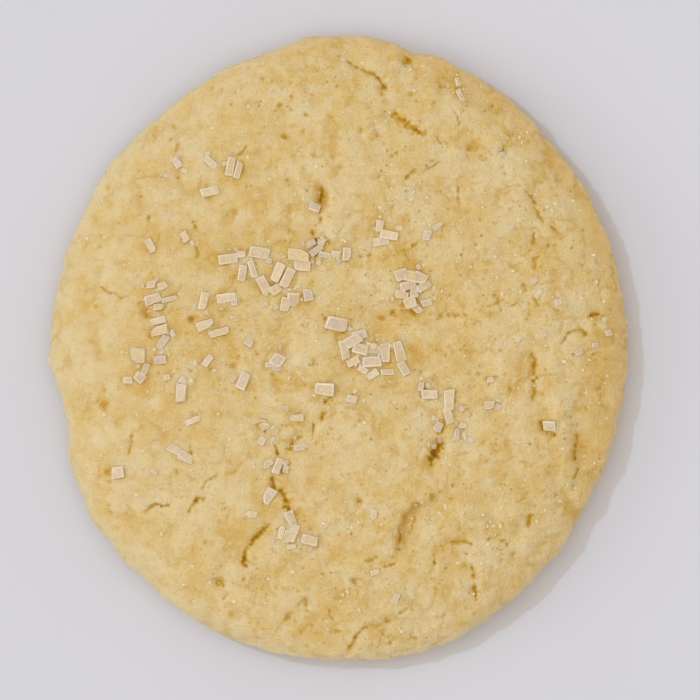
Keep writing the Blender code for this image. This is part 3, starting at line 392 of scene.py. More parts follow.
# The coarse crystals: x, y, length, width, heading in degrees.
CRYSTALS = tuple(Crystal(*row) for row in (
    (-20.3, 23.0, 1.3, 0.8, 122), (-16.1, 23.0, 1.9, 0.9, -40), (-13.6, 22.4, 2.3, 1.1, 80),
    (-12.7, 22.0, 2.1, 0.9, 75), (-16.3, 19.3, 2.2, 1.2, 14), (-23.6, 12.6, 1.8, 0.9, 115),
    (-19.3, 13.7, 1.3, 0.8, -60), (-23.5, 7.7, 1.1, 0.9, 0), (-22.1, 7.6, 1.2, 0.9, 30),
    (-23.3, 5.9, 2.1, 1.1, 18), (-21.3, 5.9, 1.9, 0.7, 14), (-22.6, 4.9, 1.3, 0.8, 0),
    (-22.7, 3.2, 2.0, 0.9, 12), (-22.4, 1.9, 2.1, 1.2, 12), (-22.1, 0.6, 1.8, 1.0, 55),
    (-20.9, 1.6, 1.0, 0.6, 110), (-25.2, -1.1, 2.0, 1.6, 0), (-24.3, -2.9, 1.6, 0.8, 70),
    (-26.5, -4.2, 1.1, 1.0, 0), (-25.0, -3.9, 1.5, 1.2, -40), (-22.4, -1.6, 1.4, 1.1, 10),
    (-21.6, -3.9, 0.9, 0.7, 20), (-19.6, -4.2, 1.1, 0.9, 70), (-19.8, -5.8, 2.2, 1.4, 88),
    (-17.0, 5.7, 2.2, 1.1, 75), (-16.8, 2.7, 2.0, 1.1, 20), (-14.2, 6.1, 2.4, 1.1, 10),
    (-13.1, 5.7, 1.4, 0.7, 85), (-15.0, 1.7, 2.4, 0.9, 15), (-11.3, 0.4, 1.1, 0.9, -30),
    (-16.4, -1.8, 1.6, 0.9, 52), (-12.1, -4.3, 2.1, 1.2, 68), (-7.8, -1.8, 1.7, 1.4, 60),
    (-8.7, -2.3, 1.2, 0.7, 0), (-14.0, 10.9, 2.4, 1.3, 10), (-12.3, 11.5, 1.1, 1.0, 0),
    (-10.1, 11.6, 2.6, 1.3, -8), (-12.2, 9.2, 1.9, 1.1, 82), (-10.9, 9.6, 2.1, 1.0, 108),
    (-9.5, 7.7, 2.3, 1.2, 117), (-7.7, 9.3, 2.4, 1.1, 66), (-6.5, 8.6, 2.6, 1.2, 60),
    (-8.0, 7.1, 1.5, 1.1, 30), (-5.2, 11.4, 2.6, 1.4, -2), (-4.7, 10.0, 2.1, 1.2, -6),
    (-2.9, 12.0, 1.9, 0.8, 36), (-3.7, 12.8, 1.2, 0.9, 30), (-2.3, 12.9, 1.0, 0.7, -20),
    (-1.8, 11.4, 1.6, 0.8, -10), (-0.5, 11.6, 1.1, 0.8, 0), (0.9, 11.5, 1.7, 1.1, 90),
    (-6.8, 5.3, 1.8, 1.1, 75), (-5.8, 5.9, 1.9, 1.4, 90), (-3.9, 6.4, 1.5, 1.1, 100),
    (-3.1, 17.3, 1.4, 1.0, -20), (-0.4, 2.8, 2.7, 1.6, -15), (5.0, 15.0, 1.4, 0.9, 80),
    (6.3, 13.9, 2.3, 1.1, -10), (5.2, 13.1, 1.9, 0.9, 8), (11.0, 13.8, 1.3, 0.9, 85),
    (12.3, 15.0, 1.4, 0.6, 38), (15.2, 31.2, 2.0, 0.7, -64), (14.7, 33.0, 1.1, 0.6, -80),
    (7.8, 9.0, 1.7, 1.2, 20), (9.0, 8.7, 2.0, 1.3, -10), (10.0, 8.5, 1.7, 1.2, -25),
    (8.5, 7.6, 1.9, 1.1, 15), (10.5, 7.5, 1.8, 1.0, 35), (9.4, 7.0, 1.5, 1.0, 80),
    (7.8, 6.4, 1.7, 0.9, -10), (8.8, 5.4, 1.6, 1.3, 20), (9.7, 4.8, 1.4, 0.9, -40),
    (10.9, 5.4, 1.3, 0.8, 20), (0.6, -0.4, 2.3, 1.1, 100), (1.7, 0.7, 2.0, 1.3, 30),
    (2.5, 1.5, 1.8, 1.1, 15), (2.6, -0.3, 1.8, 1.4, -20), (4.0, -1.9, 2.5, 1.5, 0),
    (4.2, -0.3, 2.0, 1.2, -12), (5.7, -0.9, 2.4, 1.2, 92), (7.4, -0.7, 2.6, 1.2, 105),
    (8.0, -2.8, 1.9, 1.1, 118), (5.9, -3.2, 1.7, 0.8, 5), (1.7, -1.9, 1.7, 1.0, 20),
    (4.2, -3.5, 1.5, 0.8, 35), (2.9, -2.9, 1.3, 0.8, -35), (-1.9, -5.2, 2.5, 1.6, 0),
    (1.5, -6.6, 1.3, 0.9, -15), (10.2, -5.0, 1.1, 0.7, 85), (11.3, -6.1, 2.1, 1.1, 2),
    (13.7, -6.6, 2.4, 1.2, 88), (13.7, -8.6, 2.0, 1.0, 104), (12.4, -10.0, 1.2, 0.9, 60),
    (12.5, -11.6, 1.0, 0.6, 85), (14.7, -11.0, 1.6, 0.7, 80), (18.8, -7.3, 1.1, 0.9, 0),
    (-5.3, -8.9, 1.8, 0.8, 0), (-9.3, -9.8, 1.2, 1.0, 30), (-9.6, -11.8, 1.2, 0.9, 60),
    (-5.0, -12.7, 1.4, 0.7, 5), (-7.8, -14.9, 2.0, 1.0, 68), (-8.8, -14.6, 1.0, 0.7, 30),
    (-8.9, -18.7, 2.1, 1.3, 60), (-6.1, -21.5, 2.0, 1.0, 112), (-7.3, -23.3, 1.6, 0.9, 78),
    (-6.5, -23.7, 1.6, 0.8, 75), (-5.7, -23.4, 2.2, 0.9, 68), (-3.8, -24.2, 2.1, 1.2, -14),
    (-27.6, -15.8, 1.7, 1.5, 10), (-20.6, -12.9, 1.7, 1.0, -30), (-19.3, -13.8, 1.9, 1.0, -25),
    (-18.4, -9.3, 1.8, 0.7, 25), (26.2, -9.8, 1.4, 1.2, 0),
))

# Chips and small crystals, too small for the solid: x, y, length, width, heading in degrees.
CHIPS = tuple(Crystal(*row) for row in (
    (-21.7, 21.3, 0.7, 0.5, 0), (-9.3, 5.3, 0.7, 0.6, 0), (7.4, 14.8, 0.8, 0.6, 0),
    (-7.8, -2.8, 1.1, 0.5, 5), (-13.2, -4.1, 0.8, 0.5, 40), (-15.6, -3.0, 0.6, 0.4, 0),
    (-6.7, -15.3, 0.9, 0.7, 80), (-10.9, -21.0, 1.1, 0.8, 0), (-6.0, -25.0, 1.2, 0.6, 10),
    (15.5, -9.9, 0.8, 0.7, 0), (15.6, -11.2, 1.0, 0.4, 110), (16.4, -11.7, 0.8, 0.6, -30),
    (18.9, -4.2, 0.8, 0.6, 0), (-23.2, -15.6, 1.0, 0.5, -30), (4.3, -21.0, 1.2, 0.7, 90),
    (4.4, -28.2, 1.2, 0.8, 20), (7.0, -31.5, 1.4, 0.7, 70), (20.4, 24.0, 0.6, 0.5, 15),
    (24.3, 8.2, 0.8, 0.6, 30), (24.9, 6.6, 1.2, 0.6, 50), (27.3, 5.5, 0.9, 0.7, 10),
    (33.1, 3.3, 0.8, 0.6, 70), (33.6, 1.7, 0.8, 0.7, 20), (25.5, 1.4, 0.8, 0.6, 40),
    (31.9, 0.2, 0.7, 0.6, 0), (29.9, -0.8, 0.9, 0.6, 35), (22.3, 0.8, 0.7, 0.6, 60),
    (21.4, 14.9, 0.7, 0.5, 5),
))


@dataclass
class Edge:
    """The edge of the cookie, seen from above.

    Attributes:
        radii: Distance from the middle every 15 degrees, counter-clockwise from +X, in millimetres.
        middle_y: Where the middle of the radii lies along Y, in millimetres.
        notches: Bearing and half width in degrees, and depth in millimetres, of each notch. A bulge has a
            depth below zero.
    """

    radii: tuple[float, ...] = (
        36.2, 36.1, 36.5, 36.8, 37.9, 38.6, 39.2, 38.1, 36.9, 36.7, 36.3, 36.2,
        36.2, 35.4, 37.3, 37.8, 38.5, 39.1, 39.0, 39.4, 38.5, 37.5, 36.6, 36.0,
    )
    middle_y: float = -0.15
    notches: tuple[Colour, ...] = ((76.0, 2.4, 0.60), (194.0, 3.0, 0.10), (202.0, 3.5, -0.45))

    def mean(self) -> float:
        """Return the mean radius in millimetres."""
        return sum(self.radii) / len(self.radii)

    def radius(self, bearing: Array) -> Array:
        """Follow a smooth closed curve through the radii.

        Args:
            bearing: Bearings in radians.

        Returns:
            The radius at each bearing, in millimetres.
        """
        radii = np.array(self.radii)
        count = len(radii)
        place = np.mod(bearing / (2 * math.pi), 1.0) * count
        start = np.floor(place).astype(int)
        part = place - start
        a, b, c, d = (radii[(start + step) % count] for step in (-1, 0, 1, 2))
        radius = b + 0.5 * part * (c - a + part * (2 * a - 5 * b + 4 * c - d + part * (3 * (b - c) + d - a)))
        for middle, half_width, depth in self.notches:
            away = np.mod(np.degrees(bearing) - middle + 180.0, 360.0) - 180.0
            radius = radius - depth * np.exp(-((away / half_width) ** 2))
        return radius


@dataclass
class Section:
    """The section of the cookie, from the middle of its top round to its base, in millimetres.

    Attributes:
        top_z: Height of the top in its middle.
        dome_drop: How much lower the top would be at its edge.
        rim_z: Height of the widest ring.
        base_setback: How much smaller the base's radius is than the rim's.
        shoulder_start: The share of the radius where the shoulder starts.
        shoulder_power: The higher, the squarer the shoulder.
        shoulder_fineness: How much closer together the points get towards the rim.
        shoulder_steps: How many points the flat part has, and the shoulder too.
        wall_steps: How many points the wall has.
    """

    top_z: float = 9.6
    dome_drop: float = 0.8
    rim_z: float = 3.3
    base_setback: float = 1.25
    shoulder_start: float = 0.82
    shoulder_power: float = 6.0
    shoulder_fineness: int = 3
    shoulder_steps: int = 40
    wall_steps: int = 12

    def curve(self, mean_radius: float) -> tuple[Array, Array, Array, Array, Array]:
        """Work out the section as columns.

        Args:
            mean_radius: The cookie's mean radius in millimetres.

        Returns:
            Share of the length, reach as a share of the radius, height, and the outward and upward parts of
            the normal.
        """
        flat = np.linspace(0.0, self.shoulder_start, self.shoulder_steps)
        left = np.linspace(1.0, 0.0, self.shoulder_steps)[1:] ** self.shoulder_fineness
        reach = np.concatenate([flat, 1.0 - (1.0 - self.shoulder_start) * left])
        top = self.top_z - self.rim_z - self.dome_drop * reach**2
        height = self.rim_z + top * np.sqrt(np.maximum(0.0, 1.0 - reach**self.shoulder_power))
        down = np.linspace(0.0, 1.0, self.wall_steps)[1:]
        out = np.concatenate([reach * mean_radius, mean_radius - self.base_setback * down**2])
        up = np.concatenate([height, self.rim_z * (1.0 - down)])
        length = np.concatenate([[0.0], np.cumsum(np.hypot(np.diff(out), np.diff(up)))])
        slope_out, slope_up = np.gradient(out, length), np.gradient(up, length)
        size = np.hypot(slope_out, slope_up)
        return length / length[-1], out / mean_radius, up, -slope_up / size, slope_out / size


@dataclass
class Relief:
    """How the top is pressed down, split and raised, and where melted sugar stained it.

    Attributes:
        raggedness: How uneven the sides of the broad forms are, as a share of their depth.
        trough: The share of a wide crack's depth that lies in its broad part.
        core: The share of a split's or pore's depth that is used.
        step_width: Half the width over which a step drops, in millimetres.
        step_lip: How far the high side swells up beside a step, as a share of the drop.
        lip_width: How wide that swelling is, in millimetres.
        step_taper: Below 1, a step keeps its drop almost to its ends.
        lump_flatness: The higher, the flatter a lump's top and the steeper its side.
        stain_width: How far a stain reaches past its crystal, in millimetres.
        stain_reach: How far from a crystal its stain is worked out, in millimetres.
        swing: How much the width and depth of splits and pores vary.
        swing_limits: The least and most that they vary to, as shares.
        split_reach: How far from its points a split is worked out, in millimetres.
        pore_reach: How far from its middle a pore is worked out, in millimetres.
        fine_depth: From this depth of a split or pore on, the mesh is cut finer, in millimetres.
        stray_pores: How many pores are drawn, besides the placed ones.
        stray_box: Half the width and length of the box that they are drawn in, in millimetres.
        stray_oval: Half the width and length of the oval that they are kept in, in millimetres.
        stray_size: Least radius, and how much larger the largest is, in millimetres.
        stray_depth: Least and most depth, as shares of the radius.
        stray_seed: Starts the draw.
    """

    raggedness: float = 0.35
    trough: float = 0.40
    core: float = 0.55
    step_width: float = 0.38
    step_lip: float = 0.28
    lip_width: float = 1.5
    step_taper: float = 0.6
    lump_flatness: float = 3.0
    stain_width: float = 0.5
    stain_reach: float = 4.0
    swing: float = 0.9
    swing_limits: Pair = (0.35, 1.6)
    split_reach: float = 1.5
    pore_reach: float = 1.6
    fine_depth: float = 0.05
    stray_pores: int = 620
    stray_box: Pair = (36.0, 39.0)
    stray_oval: Pair = (35.0, 37.5)
    stray_size: Pair = (0.10, 0.13)
    stray_depth: Pair = (0.8, 1.8)
    stray_seed: int = 23

    def pores(self) -> list[Hollow]:
        """Return the placed pores, and stray ones drawn evenly over the top."""
        draw = random.Random(self.stray_seed)
        stray = []
        while len(stray) < self.stray_pores:
            x, y = (draw.uniform(-reach, reach) for reach in self.stray_box)
            if math.hypot(x / self.stray_oval[0], y / self.stray_oval[1]) < 1.0:
                size = self.stray_size[0] + self.stray_size[1] * draw.random() ** 2
                stray.append(Hollow(x, y, size, size * draw.uniform(*self.stray_depth)))
        return list(PORES) + stray

    @staticmethod
    def along(line: Line, x: Array, y: Array) -> tuple[Array, Array, Array]:
        """Measure points against a bent line.

        Args:
            line: The line's points in millimetres.
            x: The points' places along X, in millimetres.
            y: The points' places along Y, in millimetres.

        Returns:
            Distance from the line, the side (1 on its right), and the share of the line passed.
        """
        gap = np.full(x.shape, np.inf)
        side, share = np.zeros(x.shape), np.zeros(x.shape)
        pieces = len(line) - 1
        for index, ((x0, y0), (x1, y1)) in enumerate(zip(line, line[1:])):
            dx, dy = x1 - x0, y1 - y0
            along = np.clip(((x - x0) * dx + (y - y0) * dy) / (dx * dx + dy * dy), 0.0, 1.0)
            here = np.hypot(x - x0 - along * dx, y - y0 - along * dy)
            nearer = here < gap
            gap = np.where(nearer, here, gap)
            side = np.where(nearer, np.sign(dy * (x - x0) - dx * (y - y0)), side)
            share = np.where(nearer, (index + along) / pieces, share)
        return gap, side, share

    def lumps(self, x: Array, y: Array) -> Array:
        """Return how far the placed lumps raise each point, in millimetres."""
        height = np.zeros(x.shape)
        for lump in LUMPS:
            away = np.hypot(x - lump.x, y - lump.y) / lump.radius
            height = np.maximum(height, lump.height * np.exp(-(away**self.lump_flatness)))
        return height

    def stains(self, x: Array, y: Array) -> Array:
        """Return from 0 to 1 how near each point is to a coarse crystal, whose melted sugar browned it."""
        stain = np.zeros(x.shape)
        for crystal in CRYSTALS:
            gap = np.hypot(x - crystal.x, y - crystal.y)
            near = np.flatnonzero(gap < self.stain_reach)
            away = gap[near] / (0.5 * crystal.length + self.stain_width)
            stain[near] = np.maximum(stain[near], np.exp(-(away**2)))
        return stain

    def broad(self, x: Array, y: Array, ragged: Array) -> Array:
        """Work out the depth of the hollows, wide cracks and steps, the forms that the solid has too.

        Args:
            x: The points' places along X, in millimetres.
            y: The points' places along Y, in millimetres.
            ragged: Noise from -1 to 1 that makes the sides uneven.

        Returns:
            How far each point is pressed down, in millimetres.
        """
        depth = np.zeros(x.shape)
        uneven = 1.0 + self.raggedness * ragged
        for hollow in HOLLOWS:
            away = np.hypot(x - hollow.x, y - hollow.y) / hollow.radius
            depth += hollow.depth * np.exp(-(away**2)) * uneven
        for crack in CRACKS:
            gap, _, _ = self.along(crack.line, x, y)
            depth += self.trough * crack.depth * np.exp(-((gap / crack.half_width) ** 2)) * uneven
        for step in STEPS:
            gap, side, share = self.along(step.line, x, y)
            low = side * gap
            across = smooth_step((low + self.step_width) / (2.0 * self.step_width))
            fading = (1.0 - np.clip(low / step.run, 0.0, 1.0)) ** 2
            lip = self.step_lip * np.exp(-(((low + self.lip_width) / self.lip_width) ** 2))
            depth += step.drop * np.sin(math.pi * share) ** self.step_taper * (across * fading - lip)
        return depth

    def narrow(self, x: Array, y: Array, ragged: Array) -> Array:
        """Work out the depth of the splits and pores.

        Args:
            x: The points' places along X, in millimetres.
            y: The points' places along Y, in millimetres.
            ragged: Noise from -1 to 1 that makes the sides uneven.

        Returns:
            How far each point is pressed down, in millimetres.
        """
        depth = np.zeros(x.shape)
        swing = np.clip(1.0 + self.swing * ragged, *self.swing_limits)
        for split in SPLITS:
            middle = np.mean(split.line, axis=0)
            reach = self.split_reach + max(math.dist(middle, point) for point in split.line)
            near = np.flatnonzero(np.hypot(x - middle[0], y - middle[1]) < reach)
            gap, _, _ = self.along(split.line, x[near], y[near])
            width = split.half_width * swing[near]
            split_depth = self.core * split.depth * np.exp(-((gap / width) ** 2)) * swing[near]
            depth[near] = np.maximum(depth[near], split_depth)
        for pore in self.pores():
            close = (np.abs(x - pore.x) < self.pore_reach) & (np.abs(y - pore.y) < self.pore_reach)
            near = np.flatnonzero(close)
            away = np.hypot(x[near] - pore.x, y[near] - pore.y) / (pore.radius * swing[near])
            depth[near] = np.maximum(depth[near], self.core * pore.depth * np.exp(-(away**2)))
        return depth

    def fine_places(self, x: Array, y: Array) -> Array:
        """Return True for each point so near a split or pore that the mesh is cut finer there."""
        return self.narrow(x, y, np.zeros(x.shape)) > self.fine_depth


class Graph:
    """A material's node tree, with a short method for each kind of node that the finishes use."""

    def __init__(self, name: str) -> None:
        """Start a material whose patterns are placed in millimetres on the object.

        Args:
            name: The material's name.
        """
        self.material = bpy.data.materials.new(name)
        self.material.use_nodes = True
        self.tree = self.material.node_tree
        self.shader = self.tree.nodes["Principled BSDF"]
        place = self.tree.nodes.new("ShaderNodeTexCoord")
        scale = self.tree.nodes.new("ShaderNodeMapping")
        scale.inputs["Scale"].default_value = (1 / MM, 1 / MM, 1 / MM)
        self.tree.links.new(place.outputs["Object"], scale.inputs["Vector"])
        self.place = scale.outputs["Vector"]

    def noise(self, length: float, detail: float, roughness: float = 0.5, coloured: bool = False) -> Socket:
        """Add a noise.

        Args:
            length: The size of its blobs in millimetres.
            detail: How many finer layers it has.
            roughness: How strong the finer layers are.
            coloured: True for three values of its own, as a colour.

        Returns:
            The noise's value.
        """
        node = self.tree.nodes.new("ShaderNodeTexNoise")
        node.inputs["Scale"].default_value = 1.0 / length
        node.inputs["Detail"].default_value = detail
        node.inputs["Roughness"].default_value = roughness
        self.tree.links.new(self.place, node.inputs["Vector"])
        return node.outputs["Color" if coloured else 0]

    def across(self) -> Socket:
        """Return how far each place lies along X, in millimetres."""
        node = self.tree.nodes.new("ShaderNodeSeparateXYZ")
        self.tree.links.new(self.place, node.inputs[0])
        return node.outputs["X"]

    def wandering(self, length: float, amount: float) -> Socket:
        """Return places that wander by up to an amount over a length, both in millimetres."""
        node = self.tree.nodes.new("ShaderNodeVectorMath")
        node.operation = "MULTIPLY_ADD"
        node.inputs[1].default_value = (amount, amount, amount)
        self.tree.links.new(self.noise(length, detail=1.0, coloured=True), node.inputs[0])
        self.tree.links.new(self.place, node.inputs[2])
        return node.outputs[0]

    def cells(self, length: float, place: Socket, net: bool = False) -> bpy.types.Node:
        """Add a pattern of cells.

        Args:
            length: The width of a cell in millimetres.
            place: Where the pattern is read.
            net: True to measure from the cells' borders, and not from their middles.

        Returns:
            The node, with the distance in cells and a colour for each cell.
        """
        node = self.tree.nodes.new("ShaderNodeTexVoronoi")
        node.feature = "DISTANCE_TO_EDGE" if net else "F1"
        node.inputs["Scale"].default_value = 1.0 / length
        self.tree.links.new(place, node.inputs["Vector"])
        return node

    def attribute(self, name: str) -> Socket:
        """Return the value of the mesh's own attribute of this name."""
        node = self.tree.nodes.new("ShaderNodeAttribute")
        node.attribute_name = name
        return node.outputs["Fac"]

    def between(self, value: Socket, low: float, high: float, most: float = 1.0) -> Socket:
        """Rise smoothly from 0 to a most as a value goes from low to high.

        Args:
            value: The value that is read.
            low: Where the rise starts.
            high: Where the rise ends.
            most: What it rises to.

        Returns:
            The risen value.
        """
        node = self.tree.nodes.new("ShaderNodeMapRange")
        node.interpolation_type = "SMOOTHSTEP"
        for name, number in (("From Min", low), ("From Max", high), ("To Max", most)):
            node.inputs[name].default_value = number
        self.tree.links.new(value, node.inputs["Value"])
        return node.outputs["Result"]

    def maths(self, operation: str, a: Socket, b: Socket | float) -> Socket:
        """Combine two values.

        Args:
            operation: The name of Blender's operation.
            a: The first value.
            b: The second value, or a number.

        Returns:
            The result.
        """
        node = self.tree.nodes.new("ShaderNodeMath")
        node.operation = operation
        self.tree.links.new(a, node.inputs[0])
        if isinstance(b, float):
            node.inputs[1].default_value = b
        else:
            self.tree.links.new(b, node.inputs[1])
        return node.outputs[0]

    def mix(self, share: Socket, a: Socket | Colour, b: Socket | Colour) -> Socket:
        """Mix two colours.

        Args:
            share: How much of the second colour shows.
            a: The first colour.
            b: The second colour.

        Returns:
            The mixed colour.
        """
        node = self.tree.nodes.new("ShaderNodeMix")
        node.data_type = "RGBA"
        self.tree.links.new(share, node.inputs[0])
        for socket, colour in ((node.inputs[6], a), (node.inputs[7], b)):
            if isinstance(colour, tuple):
                socket.default_value = (*colour, 1.0)
            else:
                self.tree.links.new(colour, socket)
        return node.outputs[2]

    def bump(self, height: Socket, depth: float, strength: float) -> None:
        """Dent the surface by a height.

        Args:
            height: The height's pattern.
            depth: How deep a full pattern is, in millimetres.
            strength: How much of it is used, from 0 to 1.
        """
        node = self.tree.nodes.new("ShaderNodeBump")
        node.inputs["Distance"].default_value = depth * MM
        node.inputs["Strength"].default_value = strength
        self.tree.links.new(height, node.inputs["Height"])
        self.tree.links.new(node.outputs["Normal"], self.shader.inputs["Normal"])

    def finish(self, colour: Socket, **values: float | Colour) -> bpy.types.Material:
        """Give the shader its colour and numbers.

        Args:
            colour: The colour.
            **values: A value for each of the shader's other sockets, whose names have _ for a space.

        Returns:
            The finished material.
        """
        self.tree.links.new(colour, self.shader.inputs["Base Color"])
        for name, value in values.items():
            self.shader.inputs[name.replace("_", " ")].default_value = value
        return self.material


@dataclass(frozen=True)
class DoughFinish:
    """Pale yellow baked dough: mottled, sandy, browned at its base, with painted shade in its cracks and on
    its shaded rim and foot.

    Attributes:
        pale: Its main colour.
        tan: The colour of its darker clouds.
        golden: The colour of its small patches, and of the painted shade in shallow crevices.
        pit_shade: The colour of the painted shade in its pinholes and hair cracks.
        deep: The colour of the painted shade in deep crevices.
        browned: The colour of the baked base, and of the foot and rim on the side away from the light, partly
            browning and partly painted shade.
        frosted: The colour of pale lumps, and of the paler edge with painted light on its lit side.
        sparkle: The colour of its brightest specks, painted highlights on its grains.
        roughness: How matt it is.
        glow: How much light spreads inside it, from 0 to 1.
        glow_depth: How far red light spreads, in millimetres.
        glow_colours: How far each colour spreads, as a share of that.
        sheen: How strong its reflections are.
        bump_depth: How deep the finest unevenness is, in millimetres.
    """

    pale: Colour = (0.861, 0.690, 0.387)
    tan: Colour = (0.805, 0.560, 0.198)
    golden: Colour = (0.722, 0.430, 0.067)
    pit_shade: Colour = (0.600, 0.352, 0.075)
    deep: Colour = (0.600, 0.310, 0.004)
    browned: Colour = (0.920, 0.600, 0.240)
    frosted: Colour = (0.860, 0.736, 0.484)
    sparkle: Colour = (0.950, 0.780, 0.460)
    roughness: float = 0.75
    glow: float = 0.60
    glow_depth: float = 1.05
    glow_colours: Colour = (1.0, 0.75, 0.40)
    sheen: float = 0.15
    bump_depth: float = 0.24

    def marbling(self, graph: Graph) -> Socket:
        """Return the colour of the dough's pale lumps, clouds and golden patches."""
        blobs = graph.cells(2.6, graph.wandering(length=1.6, amount=2.2))
        blob = graph.between(blobs.outputs["Distance"], low=0.62, high=0.25)
        chosen = graph.between(blobs.outputs["Color"], low=0.45, high=0.75, most=0.45)
        cloud = graph.between(graph.noise(6.0, detail=4.0, roughness=0.8), low=0.30, high=0.64)
        colour = graph.mix(cloud, self.tan, self.pale)
        colour = graph.mix(graph.maths("MULTIPLY", blob, chosen), colour, self.frosted)
        patch = graph.between(graph.noise(1.7, detail=3.0, roughness=0.6), low=0.52, high=0.72, most=0.55)
        return graph.mix(graph.maths("MULTIPLY", patch, self.coarse(graph)), colour, self.golden)

    @staticmethod
    def coarse(graph: Graph) -> Socket:
        """Return how strongly the golden patches and the painted pit shade show, rising from the left of the
        cookie to 1 on its right.
        """
        return graph.maths("ADD", graph.between(graph.across(), low=-24.0, high=-4.0, most=0.6), 0.4)

    @staticmethod
    def pits(graph: Graph) -> tuple[Socket, Socket]:
        """Return how deep the dough's pinholes are, and how much painted shade its hair cracks get, from 0 to
        1.
        """
        holes = graph.cells(0.62, graph.wandering(length=0.40, amount=0.25))
        size = graph.maths("MULTIPLY", graph.maths("SUBTRACT", holes.outputs["Color"], 0.46), 0.68)
        gap = graph.maths("SUBTRACT", holes.outputs["Distance"], size)
        dense = graph.between(graph.noise(2.4, detail=1.0), low=0.38, high=0.60)
        hole = graph.maths("MULTIPLY", graph.between(gap, low=0.08, high=-0.10), dense)
        net = graph.cells(3.4, graph.wandering(length=0.9, amount=1.5), net=True)
        thread = graph.between(net.outputs["Distance"], low=0.040, high=0.010, most=0.50)
        for length, low, high in ((1.9, 0.53, 0.61), (0.5, 0.44, 0.58)):
            shown = graph.between(graph.noise(length, detail=1.0), low, high)
            thread = graph.maths("MULTIPLY", thread, shown)
        return hole, thread

    def material(self) -> bpy.types.Material:
        """Return the dough's material."""
        graph = Graph("lemon_dough")
        # Painted shade: this attribute darkens cracks, pores, creases and deep forms to golden and brown;
        # crags and lumps get less of it, as painted light. The stains round the crystals are real.
        painted_shade_and_stain = graph.attribute("painted_shade_and_stain")
        pit, thread = (graph.maths("MULTIPLY", depth, self.coarse(graph)) for depth in self.pits(graph))
        specks = graph.noise(0.30, detail=2.0, roughness=0.6)
        layers = (
            # Painted highlights: the brightest specks.
            (graph.between(specks, low=0.56, high=0.68, most=0.30), self.sparkle),
            # Painted shade in pinholes and hair cracks.
            (graph.maths("MULTIPLY", graph.maths("MAXIMUM", pit, thread), 0.85), self.pit_shade),
            # Browning of the base, and painted shade on the foot and rim of the side away from the light.
            (graph.attribute("browning_and_painted_shade"), self.browned),
            # A paler edge, with painted light on its lit side.
            (graph.attribute("pale_edge_and_painted_light"), self.frosted),
            # Painted shade of crevices: golden, then deep brown where deepest.
            (graph.between(painted_shade_and_stain, low=-0.12, high=0.75, most=0.95), self.golden),
            (graph.between(painted_shade_and_stain, low=0.70, high=1.20, most=0.85), self.deep),
        )
        colour = self.marbling(graph)
        for share, over in layers:
            colour = graph.mix(share, colour, over)
        soft = graph.maths("MULTIPLY", graph.noise(0.70, detail=2.0, roughness=0.6), 1.10)
        sandy = graph.maths("MULTIPLY", graph.noise(0.26, detail=2.0, roughness=0.7), 1.6)
        height = graph.maths("SUBTRACT", graph.maths("ADD", soft, sandy), graph.maths("MULTIPLY", pit, 0.60))
        graph.bump(height, self.bump_depth, strength=1.0)
        return graph.finish(
            colour, Roughness=self.roughness, Metallic=0.0, Specular_IOR_Level=self.sheen,
            Subsurface_Weight=self.glow, Subsurface_Radius=self.glow_colours,
            Subsurface_Scale=self.glow_depth * MM,
        )


@dataclass(frozen=True)
class SugarFinish:
    """Cloudy sugar crystal: the dough under it shows in its faces, and its edges get a whiter painted
    highlight.

    Attributes:
        name: The material's name.
        haze: The colour of the cloudiness inside it.
        edge: The colour of the painted highlight on its edges.
        foot: The colour of its sides: painted light, a golden glow for the light that passes through them
            from the dough.
        least: How much haze the clearest crystal has, from 0 to 1.
        most: How much haze the cloudiest crystal has.
        roughness: How matt its faces are.
        glow: How much light spreads inside it, from 0 to 1.
        glow_depth: How far red light spreads, in millimetres.
        glow_colours: How far each colour spreads, as a share of that.
        sheen: How strong its reflections are.
        bump_depth: How deep the unevenness of its faces is, in millimetres.
    """

    name: str
    haze: Colour
    edge: Colour
    foot: Colour
    least: float
    most: float
    roughness: float
    glow: float = 0.20
    glow_depth: float = 0.35
    glow_colours: Colour = (1.0, 0.9, 0.75)
    sheen: float = 0.35
    bump_depth: float = 0.03

    def material(self) -> bpy.types.Material:
        """Return the sugar's material."""
        graph = Graph(self.name)
        below = DoughFinish().marbling(graph)
        wisps = graph.between(graph.noise(0.40, detail=3.0, roughness=0.7), low=0.40, high=0.60, most=0.50)
        cloud = graph.maths("ADD", wisps, graph.maths("MULTIPLY", graph.attribute("cloud"), 0.50))
        share = graph.maths("ADD", graph.maths("MULTIPLY", cloud, self.most - self.least), self.least)
        inner = graph.mix(share, below, self.haze)
        # Painted light: the sides glow golden, for the light that passes through the crystal.
        inner = graph.mix(graph.attribute("side"), inner, self.foot)
        # Painted highlight: the edges are mixed towards a whiter colour.
        edge_highlight = graph.between(graph.attribute("edge_highlight"), low=0.15, high=0.95, most=0.90)
        graph.bump(graph.noise(0.25, detail=2.0), self.bump_depth, strength=0.5)
        return graph.finish(
            graph.mix(edge_highlight, inner, self.edge), Roughness=self.roughness, Metallic=0.0,
            Specular_IOR_Level=self.sheen, Subsurface_Weight=self.glow,
            Subsurface_Radius=self.glow_colours, Subsurface_Scale=self.glow_depth * MM,
        )


class Sugar(Enum):
    """The two kinds of sugar on the cookie."""

    COARSE = SugarFinish(
        "coarse_sugar", haze=(0.540, 0.425, 0.340), edge=(0.840, 0.720, 0.565), foot=(0.80, 0.53, 0.16),
        least=0.20, most=0.95, roughness=0.35,
    )
    FINE = SugarFinish(
        "fine_sugar", haze=(0.86, 0.74, 0.48), edge=(0.86, 0.74, 0.48), foot=(0.86, 0.58, 0.18),
        least=0.35, most=0.90, roughness=0.45,
    )


